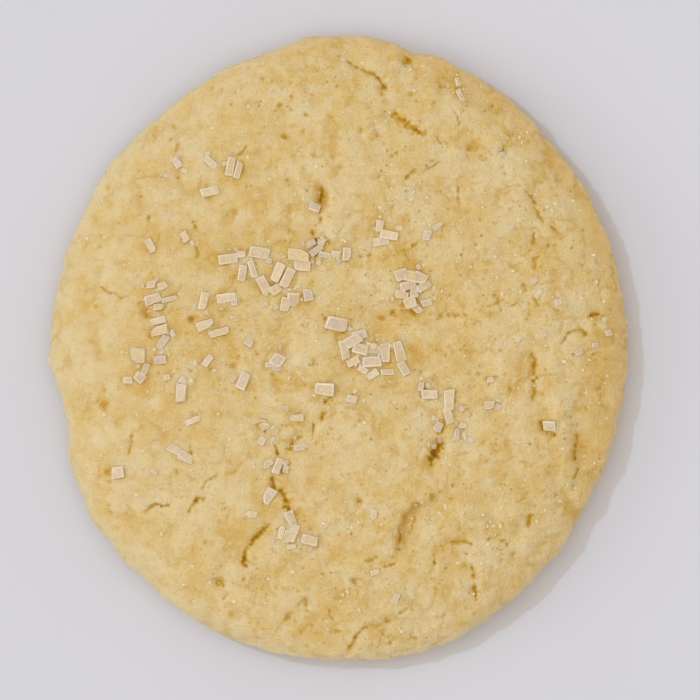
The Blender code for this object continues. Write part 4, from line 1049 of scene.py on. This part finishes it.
@dataclass(frozen=True)
class Baking:
    """How the painted shade and light, the stains and the browning of the dough follow from its forms.

    Attributes:
        narrow: How much painted shade each millimetre of a split or pore gives.
        crease: How much painted shade a full crease gives.
        broad: How much painted shade each millimetre of a hollow, crack or step gives.
        broad_start: The depth from which it counts, in millimetres.
        broad_most: The most depth that counts, in millimetres.
        crag: How much painted light each millimetre of a crag gives, by taking painted shade off.
        lump: How much painted light each millimetre of a lump gives, by taking painted shade off.
        stain: How much a full stain counts.
        stain_level: How much of every stain there is, from 0 to 1.
        stain_swing: How much the stains vary with their noise.
        stain_length: The size of that noise's blobs, in millimetres.
        limits: The least and most painted shade and stain; below zero is painted light.
        shaded_bearing: The bearing of the side away from the light, which gets painted shade, in degrees.
        shaded_level: How much of every side counts as that one.
        shaded_swing: How much more of it there is right on that side.
        shoulder: How much painted shade the shoulder gets there.
        on_shoulder: Where along the radius that starts.
        foot: How browned the foot is there, partly browning and partly painted shade.
        foot_height: How high the foot reaches, in millimetres.
        rim: How browned the rim is there, partly browning and partly painted shade.
        on_rim: Where along the radius that starts.
        edge_paling: How much paler the edge is, up to twice as much on the lit side, as painted light.
        on_edge: Where along the radius that starts.
    """

    narrow: float = 2.8
    crease: float = 0.28
    broad: float = 0.45
    broad_start: float = 0.10
    broad_most: float = 0.4
    crag: float = 0.5
    lump: float = 1.1
    stain: float = 0.42
    stain_level: float = 0.5
    stain_swing: float = 1.6
    stain_length: float = 1.5
    limits: Pair = (-0.3, 1.2)
    shaded_bearing: float = 32.0
    shaded_level: float = 0.30
    shaded_swing: float = 0.75
    shoulder: float = 0.12
    on_shoulder: Rise = Rise(0.84, 0.08)
    foot: float = 0.5
    foot_height: float = 3.4
    rim: float = 0.65
    on_rim: Rise = Rise(0.93, 0.06)
    edge_paling: float = 0.42
    on_edge: Rise = Rise(0.965, 0.03)


@dataclass(frozen=True)
class Forms:
    """The forms of the dough at each point, in millimetres.

    Attributes:
        swell: How far the surface swells out in all.
        crag: How much of that the crags are.
        lump: How much of that the lumps are.
        crease: How near the point is to an open crease, from 0 to 1.
        broad: How far hollows, cracks and steps press it down.
        narrow: How far splits and pores press it down.
    """

    swell: Array
    crag: Array
    lump: Array
    crease: Array
    broad: Array
    narrow: Array


@dataclass
class Dough:
    """The baked round of dough: a fine grid wrapped over the top and the wall, with a flat base.

    Attributes:
        edge: The outline.
        section: The section.
        relief: The hollows, cracks and pores.
        finish: The look.
        baking: How its looks follow from its forms.
        cells_across: How many cells the grid has each way.
        swells: Height and length of each swell that the solid has too.
        crags: Height and length of the finer lumps.
        rougher: How much higher they are on the side away from the light, as a share.
        rough_slant: How much of that side's bearing lies along -Y, for each part along +X.
        rough_run: How far it takes to get there, in millimetres.
        creases: Width of the lumps between the creases, how far these wander, their depth and width.
        open_creases: Level, swing and length of the noise that says where creases are open.
        serration: Height and length of the finest unevenness of the wall.
        on_wall: Where along the radius that starts.
        crumbs: Height and length of the crumbs of the edge.
        on_crumbs: Where along the radius they start.
        top_edge: The last share of the radius, over which the relief of the top fades out.
        broad_grain: Length of the noise that makes broad forms uneven, in millimetres.
        narrow_grain: The same for splits and pores.
        base_share: Points past this share of the section lie at the height of the base.
        base_rings: Where the rings of the base lie, as shares of its radius.
        base_browning: How browned the base is in its middle, and how much more at its edge.
        base_falloff: The higher, the nearer to the edge that stays.
        merge_under: Points of the base's middle closer than this become one, in millimetres.
    """

    edge: Edge
    section: Section
    relief: Relief
    finish: DoughFinish
    baking: Baking
    cells_across: int = 274
    swells: tuple[Pair, ...] = ((0.32, 9.0), (0.24, 4.0))
    crags: tuple[Pair, ...] = ((0.17, 2.6), (0.115, 1.2), (0.08, 0.65))
    rougher: float = 0.45
    rough_slant: float = 0.7
    rough_run: float = 40.0
    creases: tuple[float, float, float, float] = (3.4, 0.30, 0.19, 0.22)
    open_creases: Colour = (0.25, 2.2, 3.1)
    serration: Pair = (0.11, 0.75)
    on_wall: Rise = Rise(0.93, 0.07)
    crumbs: Pair = (0.20, 2.6)
    on_crumbs: Rise = Rise(0.8, 0.2)
    top_edge: float = 0.04
    broad_grain: float = 1.7
    narrow_grain: float = 0.5
    base_share: float = 0.999
    base_rings: tuple[float, ...] = (0.985, 0.95, 0.88, 0.76, 0.60, 0.42, 0.22)
    base_browning: Pair = (0.75, 0.25)
    base_falloff: int = 6
    merge_under: float = 0.001

    @staticmethod
    def disc_place(u: Array, v: Array) -> tuple[Array, Array]:
        """Turn the rings of a square into circles.

        Args:
            u: The points' places across the square, from -1 to 1.
            v: The points' places up the square, from -1 to 1.

        Returns:
            The share of the way out, and the bearing in radians.
        """
        sideways = np.abs(u) > np.abs(v)
        reach = np.where(sideways, u, v)
        slant = np.where(sideways, v, u) / np.where(reach == 0.0, 1.0, reach)
        bearing = np.where(sideways, slant * math.pi / 4, math.pi / 2 - slant * math.pi / 4)
        return np.abs(reach), np.where(reach < 0.0, bearing + math.pi, bearing)

    def plan(self, u: Array, v: Array) -> tuple[Array, Array]:
        """Find where points of the square come to lie, seen from above.

        Args:
            u: The points' places across the square.
            v: The points' places up the square.

        Returns:
            X and Y in millimetres.
        """
        share, bearing = self.disc_place(u, v)
        length, reach, _, _, _ = self.section.curve(self.edge.mean())
        out = np.interp(share, length, reach) * self.edge.radius(bearing)
        return out * np.cos(bearing), out * np.sin(bearing) + self.edge.middle_y

    def forms(self, flat: Array, out: Array) -> Forms:
        """Work out the forms at points of the plain section.

        Args:
            flat: The points in millimetres.
            out: Their shares of the radius.

        Returns:
            The forms.
        """
        x, y = flat[:, 0], flat[:, 1]
        swell = sum(size * noise_at(flat, across) for size, across in self.swells)
        swell += self.crumbs[0] * noise_at(flat, self.crumbs[1], Shift.CRUMBS) * self.on_crumbs.at(out)
        crag = sum(size * noise_at(flat, across, Shift.CRAGS) for size, across in self.crags)
        crag *= 1.0 + self.rougher * smooth_step((x - self.rough_slant * y) / self.rough_run)
        ragged_wall = noise_at(flat, self.serration[1], Shift.SERRATION)
        swell += self.serration[0] * ragged_wall * self.on_wall.at(out)
        lump = self.relief.lumps(x, y)
        width, waviness, depth, half_width = self.creases
        level, swing, length = self.open_creases
        open_here = smooth_step(level + swing * noise_at(flat, length, Shift.OPEN))
        crease = open_here * np.exp(-((creases_at(flat, width, waviness) / half_width) ** 2))
        swell += crag + lump - depth * crease
        on_top = smooth_step((1.0 - out) / self.top_edge)
        broad = self.relief.broad(x, y, noise_at(flat, self.broad_grain, Shift.RAGGED)) * on_top
        narrow = self.relief.narrow(x, y, noise_at(flat, self.narrow_grain, Shift.SPLITS)) * on_top
        return Forms(swell, crag, lump, crease, broad, narrow)

    def looks(self, flat: Array, raised: Array, out: Array, bearing: Array, forms: Forms) -> Array:
        """Work out the looks at each point.

        Args:
            flat: The points of the plain section, in millimetres.
            raised: The same points with their forms.
            out: Their shares of the radius.
            bearing: Their bearings in radians.
            forms: The forms there.

        Returns:
            The painted shade and stain, the browning with painted shade, and the paler edge with painted
            light at each point.
        """
        bake = self.baking
        # Painted shade: hollows, cracks, steps, splits, pores and creases are darkened.
        deep = np.clip(forms.broad - bake.broad_start, 0.0, bake.broad_most)
        painted_shade_and_stain = bake.narrow * forms.narrow + bake.crease * forms.crease + bake.broad * deep
        # Painted light: crags and lumps take painted shade off.
        painted_shade_and_stain += -bake.crag * forms.crag - bake.lump * forms.lump
        varied = bake.stain_swing * noise_at(flat, bake.stain_length, Shift.STAINS)
        stained = smooth_step(bake.stain_level + varied)
        painted_shade_and_stain += bake.stain * self.relief.stains(raised[:, 0], raised[:, 1]) * stained
        painted_shade_and_stain = np.clip(painted_shade_and_stain, *bake.limits)
        # The side away from the light gets painted shade on its shoulder, and browning with painted shade on
        # its foot and rim.
        facing = np.cos(bearing - math.radians(bake.shaded_bearing))
        shaded_side = smooth_step(bake.shaded_level + bake.shaded_swing * facing)
        painted_shade_and_stain += bake.shoulder * shaded_side * bake.on_shoulder.at(out)
        low = smooth_step((bake.foot_height - flat[:, 2]) / bake.foot_height)
        browning_and_painted_shade = np.clip(bake.foot * low * shaded_side + bake.rim * shaded_side * bake.on_rim.at(out), 0.0, 1.0)
        # The edge is painted paler, more on the lit side as painted light.
        pale_edge_and_painted_light = bake.edge_paling * (1.0 - 0.5 * shaded_side) * bake.on_edge.at(out) * (1.0 - low)
        return np.stack([painted_shade_and_stain, browning_and_painted_shade, pale_edge_and_painted_light], axis=1)

    def surface(self, u: Array, v: Array) -> tuple[Array, Array]:
        """Wrap points of the square over the dough.

        Args:
            u: The points' places across the square.
            v: The points' places up the square.

        Returns:
            The points in millimetres, and their painted shade and stain, browning with painted shade, and
            paler edge.
        """
        share, bearing = self.disc_place(u, v)
        length, reach, height, normal_out, normal_up = self.section.curve(self.edge.mean())
        out, up = np.interp(share, length, reach), np.interp(share, length, height)
        facing_out, facing_up = np.interp(share, length, normal_out), np.interp(share, length, normal_up)
        radius = self.edge.radius(bearing)
        x, y = out * radius * np.cos(bearing), out * radius * np.sin(bearing) + self.edge.middle_y
        flat = np.stack([x, y, up], axis=1)
        forms = self.forms(flat, out)
        z = up + facing_up * forms.swell - forms.broad - forms.narrow
        z = np.where(share > self.base_share, 0.0, np.maximum(z, 0.0))
        x = x + facing_out * forms.swell * np.cos(bearing)
        y = y + facing_out * forms.swell * np.sin(bearing)
        raised = np.stack([x, y, z], axis=1)
        return raised, self.looks(flat, raised, out, bearing, forms)

    def build(self) -> BMesh:
        """Build the dough's closed mesh, in millimetres."""
        bm = bmesh.new()
        bmesh.ops.create_grid(bm, x_segments=self.cells_across, y_segments=self.cells_across, size=1.0)
        edges = list(bm.edges)
        middles = np.array([(edge.verts[0].co + edge.verts[1].co) / 2 for edge in edges])
        fine = self.relief.fine_places(*self.plan(middles[:, 0], middles[:, 1]))
        chosen = [edge for edge, cut in zip(edges, fine) if cut]
        bmesh.ops.subdivide_edges(bm, edges=chosen, cuts=1, use_grid_fill=True)
        # Layers of painted shade and stain, of browning with painted shade, and of the paler edge with
        # painted light.
        layers = [bm.verts.layers.float.new(name) for name in ("painted_shade_and_stain", "browning_and_painted_shade", "pale_edge_and_painted_light")]
        flat = np.array([vert.co for vert in bm.verts])
        for vert, place, looks in zip(bm.verts, *self.surface(flat[:, 0], flat[:, 1])):
            vert.co = place
            for layer, look in zip(layers, looks):
                vert[layer] = look
        self.close_base(bm, layers[1])
        bmesh.ops.triangulate(bm, faces=[face for face in bm.faces if len(face.verts) > 4])
        bmesh.ops.recalc_face_normals(bm, faces=bm.faces)
        return bm

    def close_base(self, bm: BMesh, browning_of: bmesh.types.BMLayerItem) -> None:
        """Close the base with rings that run in to its middle.

        Args:
            bm: The dough's mesh, open at the base.
            browning_of: The layer of browning, which on the foot and rim also holds painted shade.
        """
        ring = [edge for edge in bm.edges if edge.is_boundary]
        middle, outer = Matrix.Translation((0.0, -self.edge.middle_y, 0.0)), 1.0
        least, more = self.base_browning
        for share in (*self.base_rings, 0.0):
            made = bmesh.ops.extrude_edge_only(bm, edges=ring)["geom"]
            ring = [item for item in made if isinstance(item, bmesh.types.BMEdge)]
            verts = [item for item in made if isinstance(item, bmesh.types.BMVert)]
            for vert in verts:
                vert[browning_of] = least + more * share**self.base_falloff
            bmesh.ops.scale(bm, vec=(share / outer, share / outer, 1.0), space=middle, verts=verts)
            outer = share
        bmesh.ops.remove_doubles(bm, verts=verts, dist=self.merge_under)


@dataclass
class CoarseSugar:
    """The coarse crystals, pressed into the top, higher where they lie on each other.

    Attributes:
        sugar: The kind of sugar.
        thickness: A crystal's thickness as a share of its width.
        sunk: Least and most share of the thickness that lies below the dough.
        touching: Crystals lie on each other when their middles are closer than this share of both widths.
        stack: How much higher a crystal lies for each one under it, in millimetres.
        most_stacked: How many crystals under it count.
        root: How far a crystal reaches down past its own thickness, in millimetres.
        tilt: The most it leans, in degrees.
        lean: How upright it stays on sloping dough, from 0 to 1.
        ragged: How far its corners are out of true, as a share of its width.
        ragged_up: How much of that they are out of true in height.
        bevel: How far its edges are rounded off, as a share of its width.
        inset: How far the clear part of a face lies inside its edge, as a share of that.
        edge_highlight: Least and most painted highlight on its edges, where 1 is white.
        chipped: The share of crystals that miss a corner.
        chip: Least and most size of a missing corner, as a share of the width.
        shards_each: How many shards lie round a crystal, each as likely.
        shard_gap: The most distance of a shard from its crystal's end, in millimetres.
        shard_size: Least and most length of a shard, in millimetres.
        shard_width: Least and most width of a shard, as a share of its length.
        seed: Starts the draw.
    """

    sugar: Sugar = Sugar.COARSE
    thickness: float = 0.78
    sunk: Pair = (0.48, 0.68)
    touching: float = 0.45
    stack: float = 0.26
    most_stacked: int = 2
    root: float = 0.30
    tilt: float = 9.0
    lean: float = 0.5
    ragged: float = 0.14
    ragged_up: float = 0.4
    bevel: float = 0.12
    inset: float = 0.6
    edge_highlight: Pair = (0.35, 1.2)
    chipped: float = 0.40
    chip: Pair = (0.12, 0.30)
    shards_each: tuple[int, ...] = (0, 1, 1, 2)
    shard_gap: float = 0.9
    shard_size: Pair = (0.35, 0.75)
    shard_width: Pair = (0.55, 0.95)
    seed: int = 11

    def chip_corner(self, bm: BMesh, length: float, width: float, draw: random.Random) -> None:
        """Cut one upper corner off a crystal.

        Args:
            bm: The crystal's mesh.
            length: Its length in millimetres.
            width: Its width in millimetres.
            draw: Chooses the corner and the size of the cut.
        """
        sides = (draw.choice((-1.0, 1.0)) * width, draw.choice((-1.0, 1.0)) * length)
        way = Vector((*sides, 0.5 * width)).normalized()
        corner = max(vert.co.dot(way) for vert in bm.verts)
        cut = way * (corner - draw.uniform(*self.chip) * width)
        geometry = list(bm.verts) + list(bm.edges) + list(bm.faces)
        made = bmesh.ops.bisect_plane(bm, geom=geometry, plane_co=cut, plane_no=way, clear_outer=True)
        rim = [item for item in made["geom_cut"] if isinstance(item, bmesh.types.BMEdge)]
        bmesh.ops.edgenet_fill(bm, edges=rim)

    def crystal(self, length: float, width: float, height: float, draw: random.Random) -> BMesh:
        """Build one crystal about the origin.

        Args:
            length: Its length in millimetres.
            width: Its width in millimetres.
            height: Its height in millimetres.
            draw: Gives its irregular corners.

        Returns:
            Its mesh.
        """
        bm = bmesh.new()
        bmesh.ops.create_cube(bm, size=1.0)
        bmesh.ops.scale(bm, verts=bm.verts, vec=(length, width, height))
        sizes = (width, width, self.ragged_up * width)
        for vert in bm.verts:
            vert.co += Vector([draw.uniform(-1.0, 1.0) * self.ragged * size for size in sizes])
        if draw.random() < self.chipped:
            self.chip_corner(bm, length, width, draw)
        sides = len(bm.faces)
        bmesh.ops.bevel(
            bm, geom=list(bm.edges), offset=self.bevel * width, offset_type="OFFSET", segments=2, profile=0.5,
            affect="EDGES", material=-1, clamp_overlap=True,
        )
        edge_highlight, cloud, side = (bm.verts.layers.float.new(name) for name in ("edge_highlight", "cloud", "side"))
        # Painted highlight: each corner gets a random amount, and the insets of the faces get none.
        for vert in bm.verts:
            vert[edge_highlight] = draw.uniform(*self.edge_highlight)
        for face in sorted(bm.faces, key=lambda item: -item.calc_area())[:sides]:
            known = set(bm.verts)
            bmesh.ops.inset_individual(bm, faces=[face], thickness=self.inset * self.bevel * width)
            for vert in set(bm.verts) - known:
                vert[edge_highlight], vert[side] = 0.0, 1.0 - face.normal.z
        cloudiness = draw.random()
        for vert in bm.verts:
            vert[cloud] = cloudiness
        return bm

    def shards(self, draw: random.Random) -> tuple[Crystal, ...]:
        """Draw the small shards that lie round the crystals."""
        found = []
        for crystal in CRYSTALS:
            for _ in range(draw.choice(self.shards_each)):
                turn = draw.uniform(0.0, math.tau)
                away = crystal.length / 2 + draw.uniform(0.0, self.shard_gap)
                x, y = crystal.x + away * math.cos(turn), crystal.y + away * math.sin(turn)
                size = draw.uniform(*self.shard_size)
                width = size * draw.uniform(*self.shard_width)
                found.append(Crystal(x, y, size, width, draw.uniform(0.0, 180.0)))
        return tuple(found)

    def build(self, surface: BVHTree, roof: float) -> BMesh:
        """Lay every crystal on the dough, the largest first.

        Args:
            surface: The dough's surface.
            roof: A height above the whole dough, in millimetres.

        Returns:
            All crystals as one mesh.
        """
        whole, draw, laid = bmesh.new(), random.Random(self.seed), []
        crystals = CRYSTALS + CHIPS + self.shards(draw)
        most = math.radians(self.tilt)
        for crystal in sorted(crystals, key=lambda item: -item.length * item.width):
            hit, normal, _, _ = surface.ray_cast(Vector((crystal.x, crystal.y, roof)), -UP)
            under = sum(
                math.hypot(crystal.x - other.x, crystal.y - other.y)
                < self.touching * (crystal.width + other.width)
                for other in laid
            )
            crowd = min(under, self.most_stacked) * self.stack
            thickness = crystal.width * self.thickness
            top = thickness * (1.0 - draw.uniform(*self.sunk)) + crowd
            height = thickness + self.root + crowd
            block = self.crystal(crystal.length, crystal.width, height, draw)
            upright = Matrix.Identity(3).to_quaternion()
            lean = UP.rotation_difference(normal).slerp(upright, self.lean).to_matrix().to_4x4()
            wobble = Matrix.Rotation(draw.uniform(-most, most), 4, "X")
            wobble = wobble @ Matrix.Rotation(draw.uniform(-most, most), 4, "Y")
            turn = Matrix.Rotation(math.radians(crystal.heading), 4, "Z")
            drop = Matrix.Translation((0.0, 0.0, top - height / 2))
            block.transform(Matrix.Translation(hit) @ lean @ wobble @ turn @ drop)
            append(whole, block)
            laid.append(crystal)
        return whole


@dataclass
class FineSugar:
    """The fine grains that are scattered over the whole top.

    Attributes:
        sugar: The kind of sugar.
        count: How many grains there are.
        sizes: Smallest and largest size in millimetres.
        rarity: The higher, the rarer large grains are.
        box: Half the width and length of the box that they are drawn in, in millimetres.
        oval: Half the width and length of the oval that they are kept in, in millimetres.
        clusters: Level, swing and length of the noise that gathers them.
        cluster_height: The height at which that noise is read, in millimetres.
        right: How much of the grains lies everywhere, how much only on the right, and over what length.
        ragged: How far a grain's corners are out of true, as a share of its size.
        lengths: Least and most length as a share of its size.
        widths: Least and most width as a share of its size.
        height: Its height as a share of its size.
        tilt: The most it leans, in radians.
        sunk: Least and most place of its middle above the dough, as a share of its size.
        seed: Starts the draw.
    """

    sugar: Sugar = Sugar.FINE
    count: int = 1700
    sizes: Pair = (0.11, 0.42)
    rarity: float = 3.5
    box: Pair = (36.0, 39.0)
    oval: Pair = (35.2, 38.0)
    clusters: Colour = (0.5, 0.9, 5.0)
    cluster_height: float = 4.0
    right: Colour = (0.75, 0.25, 10.0)
    ragged: float = 0.16
    lengths: Pair = (0.75, 1.2)
    widths: Pair = (0.6, 1.0)
    height: float = 0.5
    tilt: float = 0.4
    sunk: Pair = (-0.16, 0.06)
    seed: int = 5

    def place(self, draw: random.Random) -> Pair:
        """Draw a place on the top, more often where the noise of clusters is high and on the right half."""
        level, swing, length = self.clusters
        everywhere, more, run = self.right
        while True:
            x, y = (draw.uniform(-reach, reach) for reach in self.box)
            if math.hypot(x / self.oval[0], y / self.oval[1]) > 1.0:
                continue
            cluster = level + swing * noise.noise(Vector((x, y, self.cluster_height)) / length)
            if draw.random() < cluster * (everywhere + more * math.tanh(x / run)):
                return x, y

    def build(self, surface: BVHTree, roof: float) -> BMesh:
        """Scatter the grains.

        Args:
            surface: The dough's surface.
            roof: A height above the whole dough, in millimetres.

        Returns:
            All grains as one mesh.
        """
        whole, draw = bmesh.new(), random.Random(self.seed)
        low, high = self.sizes
        for _ in range(self.count):
            hit = None
            while hit is None:
                hit, normal, _, _ = surface.ray_cast(Vector((*self.place(draw), roof)), -UP)
            size = low + (high - low) * draw.random() ** self.rarity
            grain = bmesh.new()
            bmesh.ops.create_cube(grain, size=1.0)
            for vert in grain.verts:
                vert.co += Vector([draw.uniform(-self.ragged, self.ragged) for _ in range(3)])
            length, width = size * draw.uniform(*self.lengths), size * draw.uniform(*self.widths)
            bmesh.ops.scale(grain, verts=grain.verts, vec=(length, width, self.height * size))
            spin = Matrix.Rotation(draw.uniform(0.0, math.tau), 4, "Z")
            spin = spin @ Matrix.Rotation(draw.uniform(-self.tilt, self.tilt), 4, "X")
            middle = hit + normal * size * draw.uniform(*self.sunk)
            grain.transform(Matrix.Translation(middle) @ spin)
            append(whole, grain)
        return whole


def append(whole: BMesh, piece: BMesh) -> None:
    """Add a small mesh to a whole one, and free it.

    Args:
        whole: The mesh that grows.
        piece: The mesh that is added.
    """
    mesh = bpy.data.meshes.new("piece")
    piece.to_mesh(mesh)
    piece.free()
    whole.from_mesh(mesh)
    bpy.data.meshes.remove(mesh)


def new_object(name: str, shape: BMesh, material: bpy.types.Material, smooth: bool) -> bpy.types.Object:
    """Turn a working mesh into an object at the origin.

    Args:
        name: The object's name.
        shape: Its mesh, freed here.
        material: Its material.
        smooth: True to shade its faces as one surface.

    Returns:
        The object.
    """
    mesh = bpy.data.meshes.new(name)
    shape.to_mesh(mesh)
    shape.free()
    if smooth:
        mesh.shade_smooth()
    mesh.materials.append(material)
    item = bpy.data.objects.new(name, mesh)
    bpy.context.scene.collection.objects.link(item)
    return item


@dataclass
class Cookie:
    """The whole cookie: the dough and both kinds of sugar.

    Attributes:
        dough: The dough.
        coarse: The coarse crystals.
        fine: The fine grains.
        margin: How far everything stays inside the solid's box, in millimetres.
    """

    dough: Dough
    coarse: CoarseSugar
    fine: FineSugar
    margin: float = 0.02

    def fit(self, shapes: Iterable[BMesh]) -> Matrix:
        """Work out the matrix that puts all shapes just inside the solid's box, in metres.

        Args:
            shapes: The shapes in millimetres.

        Returns:
            The matrix.
        """
        low, high = (np.array(corner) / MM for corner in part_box(NODE))
        places = np.array([vert.co for shape in shapes for vert in shape.verts])
        least, most = places.min(axis=0), places.max(axis=0)
        ratio = np.minimum((high - low - 2 * self.margin) / (most - least), (1.0, 1.0, 1.0))
        middle, target = (least + most) / 2, (low + high) / 2
        middle[2], target[2] = least[2], low[2]
        scale = Matrix.Diagonal((*(ratio * MM), 1.0))
        return Matrix.Translation(Vector(target) * MM) @ scale @ Matrix.Translation(-Vector(middle))

    def build(self) -> Matrix:
        """Build every piece, dress it, and let it ride on the cookie's body.

        Returns:
            The matrix from the working millimetres to the place of the solid model.
        """
        dough = self.dough.build()
        surface, roof = BVHTree.FromBMesh(dough), 2.0 * self.dough.section.top_z
        coarse, fine = self.coarse.build(surface, roof), self.fine.build(surface, roof)
        place = self.fit((dough, coarse, fine))
        pieces = (
            ("dough", dough, self.dough.finish.material(), True),
            ("coarse_sugar", coarse, self.coarse.sugar.value.material(), True),
            ("fine_sugar", fine, self.fine.sugar.value.material(), False),
        )
        for name, shape, material, smooth in pieces:
            shape.transform(place)
            piece = new_object(name, shape, material, smooth)
            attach(piece, BODY)
            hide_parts(NODE)
            LOG.info("%s: %d faces", name, len(piece.data.polygons))
        return place


@dataclass(frozen=True)
class Sun:
    """One distant light: bearing and height in degrees, strength, width in degrees, and colour."""

    bearing: float
    height: float
    strength: float
    width: float
    colour: Colour

    def build(self, name: str) -> None:
        """Add the light to the scene under this name."""
        data = bpy.data.lights.new(name, "SUN")
        data.energy, data.angle, data.color = self.strength, math.radians(self.width), self.colour
        lamp = bpy.data.objects.new(name, data)
        turn, rise = math.radians(self.bearing), math.radians(self.height)
        towards = Vector((math.cos(turn) * math.cos(rise), math.sin(turn) * math.cos(rise), math.sin(rise)))
        lamp.rotation_euler = towards.to_track_quat("Z", "Y").to_euler()
        bpy.context.scene.collection.objects.link(lamp)


@dataclass
class Studio:
    """The pale floor, the soft light and the camera straight above.

    Attributes:
        floor: The floor's colour.
        floor_pale: The colour of its paler clouds.
        floor_half: Half its width in metres.
        view_width: How much of the cookie's plane the picture shows, in millimetres.
        lens: The lens in millimetres.
        clip: How near and how far the camera sees, in metres.
        aim: The middle of the picture, in millimetres.
        sky: The strength of the light from all round.
        warm: The colour of the soft light.
        overhead: The large light above.
        window: The soft light from the left.
        key: The small light that draws the shadow's edge.
    """

    floor: Colour = (0.645, 0.634, 0.672)
    floor_pale: Colour = (0.657, 0.647, 0.683)
    floor_half: float = 3.0
    view_width: float = 87.5
    lens: float = 1000.0
    clip: Pair = (0.01, 20.0)
    aim: Colour = (1.30, -0.46, 3.3)
    sky: float = 0.66
    warm: Colour = (1.03, 1.00, 0.94)
    overhead: Sun = Sun(180.0, 86.0, 0.57, 70.0, (1.03, 1.00, 0.94))
    window: Sun = Sun(184.0, 27.0, 0.36, 26.0, (1.03, 1.00, 0.94))
    key: Sun = Sun(150.0, 58.0, 0.45, 2.4, (0.80, 1.00, 1.38))

    def build_floor(self) -> None:
        """Build the floor, with faint clouds in it."""
        graph = Graph("pale_floor")
        clouds = graph.between(graph.noise(40.0, detail=4.0), low=0.30, high=0.70)
        material = graph.finish(graph.mix(clouds, self.floor, self.floor_pale), Roughness=0.6)
        bm = bmesh.new()
        bmesh.ops.create_grid(bm, x_segments=1, y_segments=1, size=self.floor_half)
        new_object("floor", bm, material, smooth=False)

    def build_light(self) -> None:
        """Build the light from all round and the three lights."""
        world = bpy.data.worlds.new("soft_light")
        world.use_nodes = True
        background = world.node_tree.nodes["Background"]
        background.inputs["Color"].default_value = (*self.warm, 1.0)
        background.inputs["Strength"].default_value = self.sky
        bpy.context.scene.world = world
        self.overhead.build("overhead")
        self.window.build("window")
        self.key.build("key")

    def build_camera(self, place: Matrix) -> None:
        """Build the camera.

        Args:
            place: The matrix from the working millimetres to metres.
        """
        camera = bpy.data.cameras.new("camera")
        camera.lens = self.lens
        camera.clip_start, camera.clip_end = self.clip
        holder = bpy.data.objects.new("camera", camera)
        away = Vector((0.0, 0.0, self.view_width * MM * self.lens / camera.sensor_width))
        holder.location = place @ Vector(self.aim) + away
        bpy.context.scene.collection.objects.link(holder)
        bpy.context.scene.camera = holder

    def build(self, place: Matrix) -> None:
        """Build the floor, the lights and the camera.

        Args:
            place: The matrix from the working millimetres to metres.
        """
        bpy.context.scene.view_settings.view_transform = "Standard"
        self.build_floor()
        self.build_light()
        self.build_camera(place)


def main() -> None:
    """Load the solid model, dress it as the cookie, and set the studio."""
    logging.basicConfig(level=logging.INFO, format="%(message)s")
    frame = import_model()
    noise.seed_set(NOISE_SEED)
    LOG.info("the solid model has the bodies %s", list(frame))
    dough = Dough(Edge(), Section(), Relief(), DoughFinish(), Baking())
    Studio().build(Cookie(dough, CoarseSugar(), FineSugar()).build())


if __name__ == "__main__":
    main()
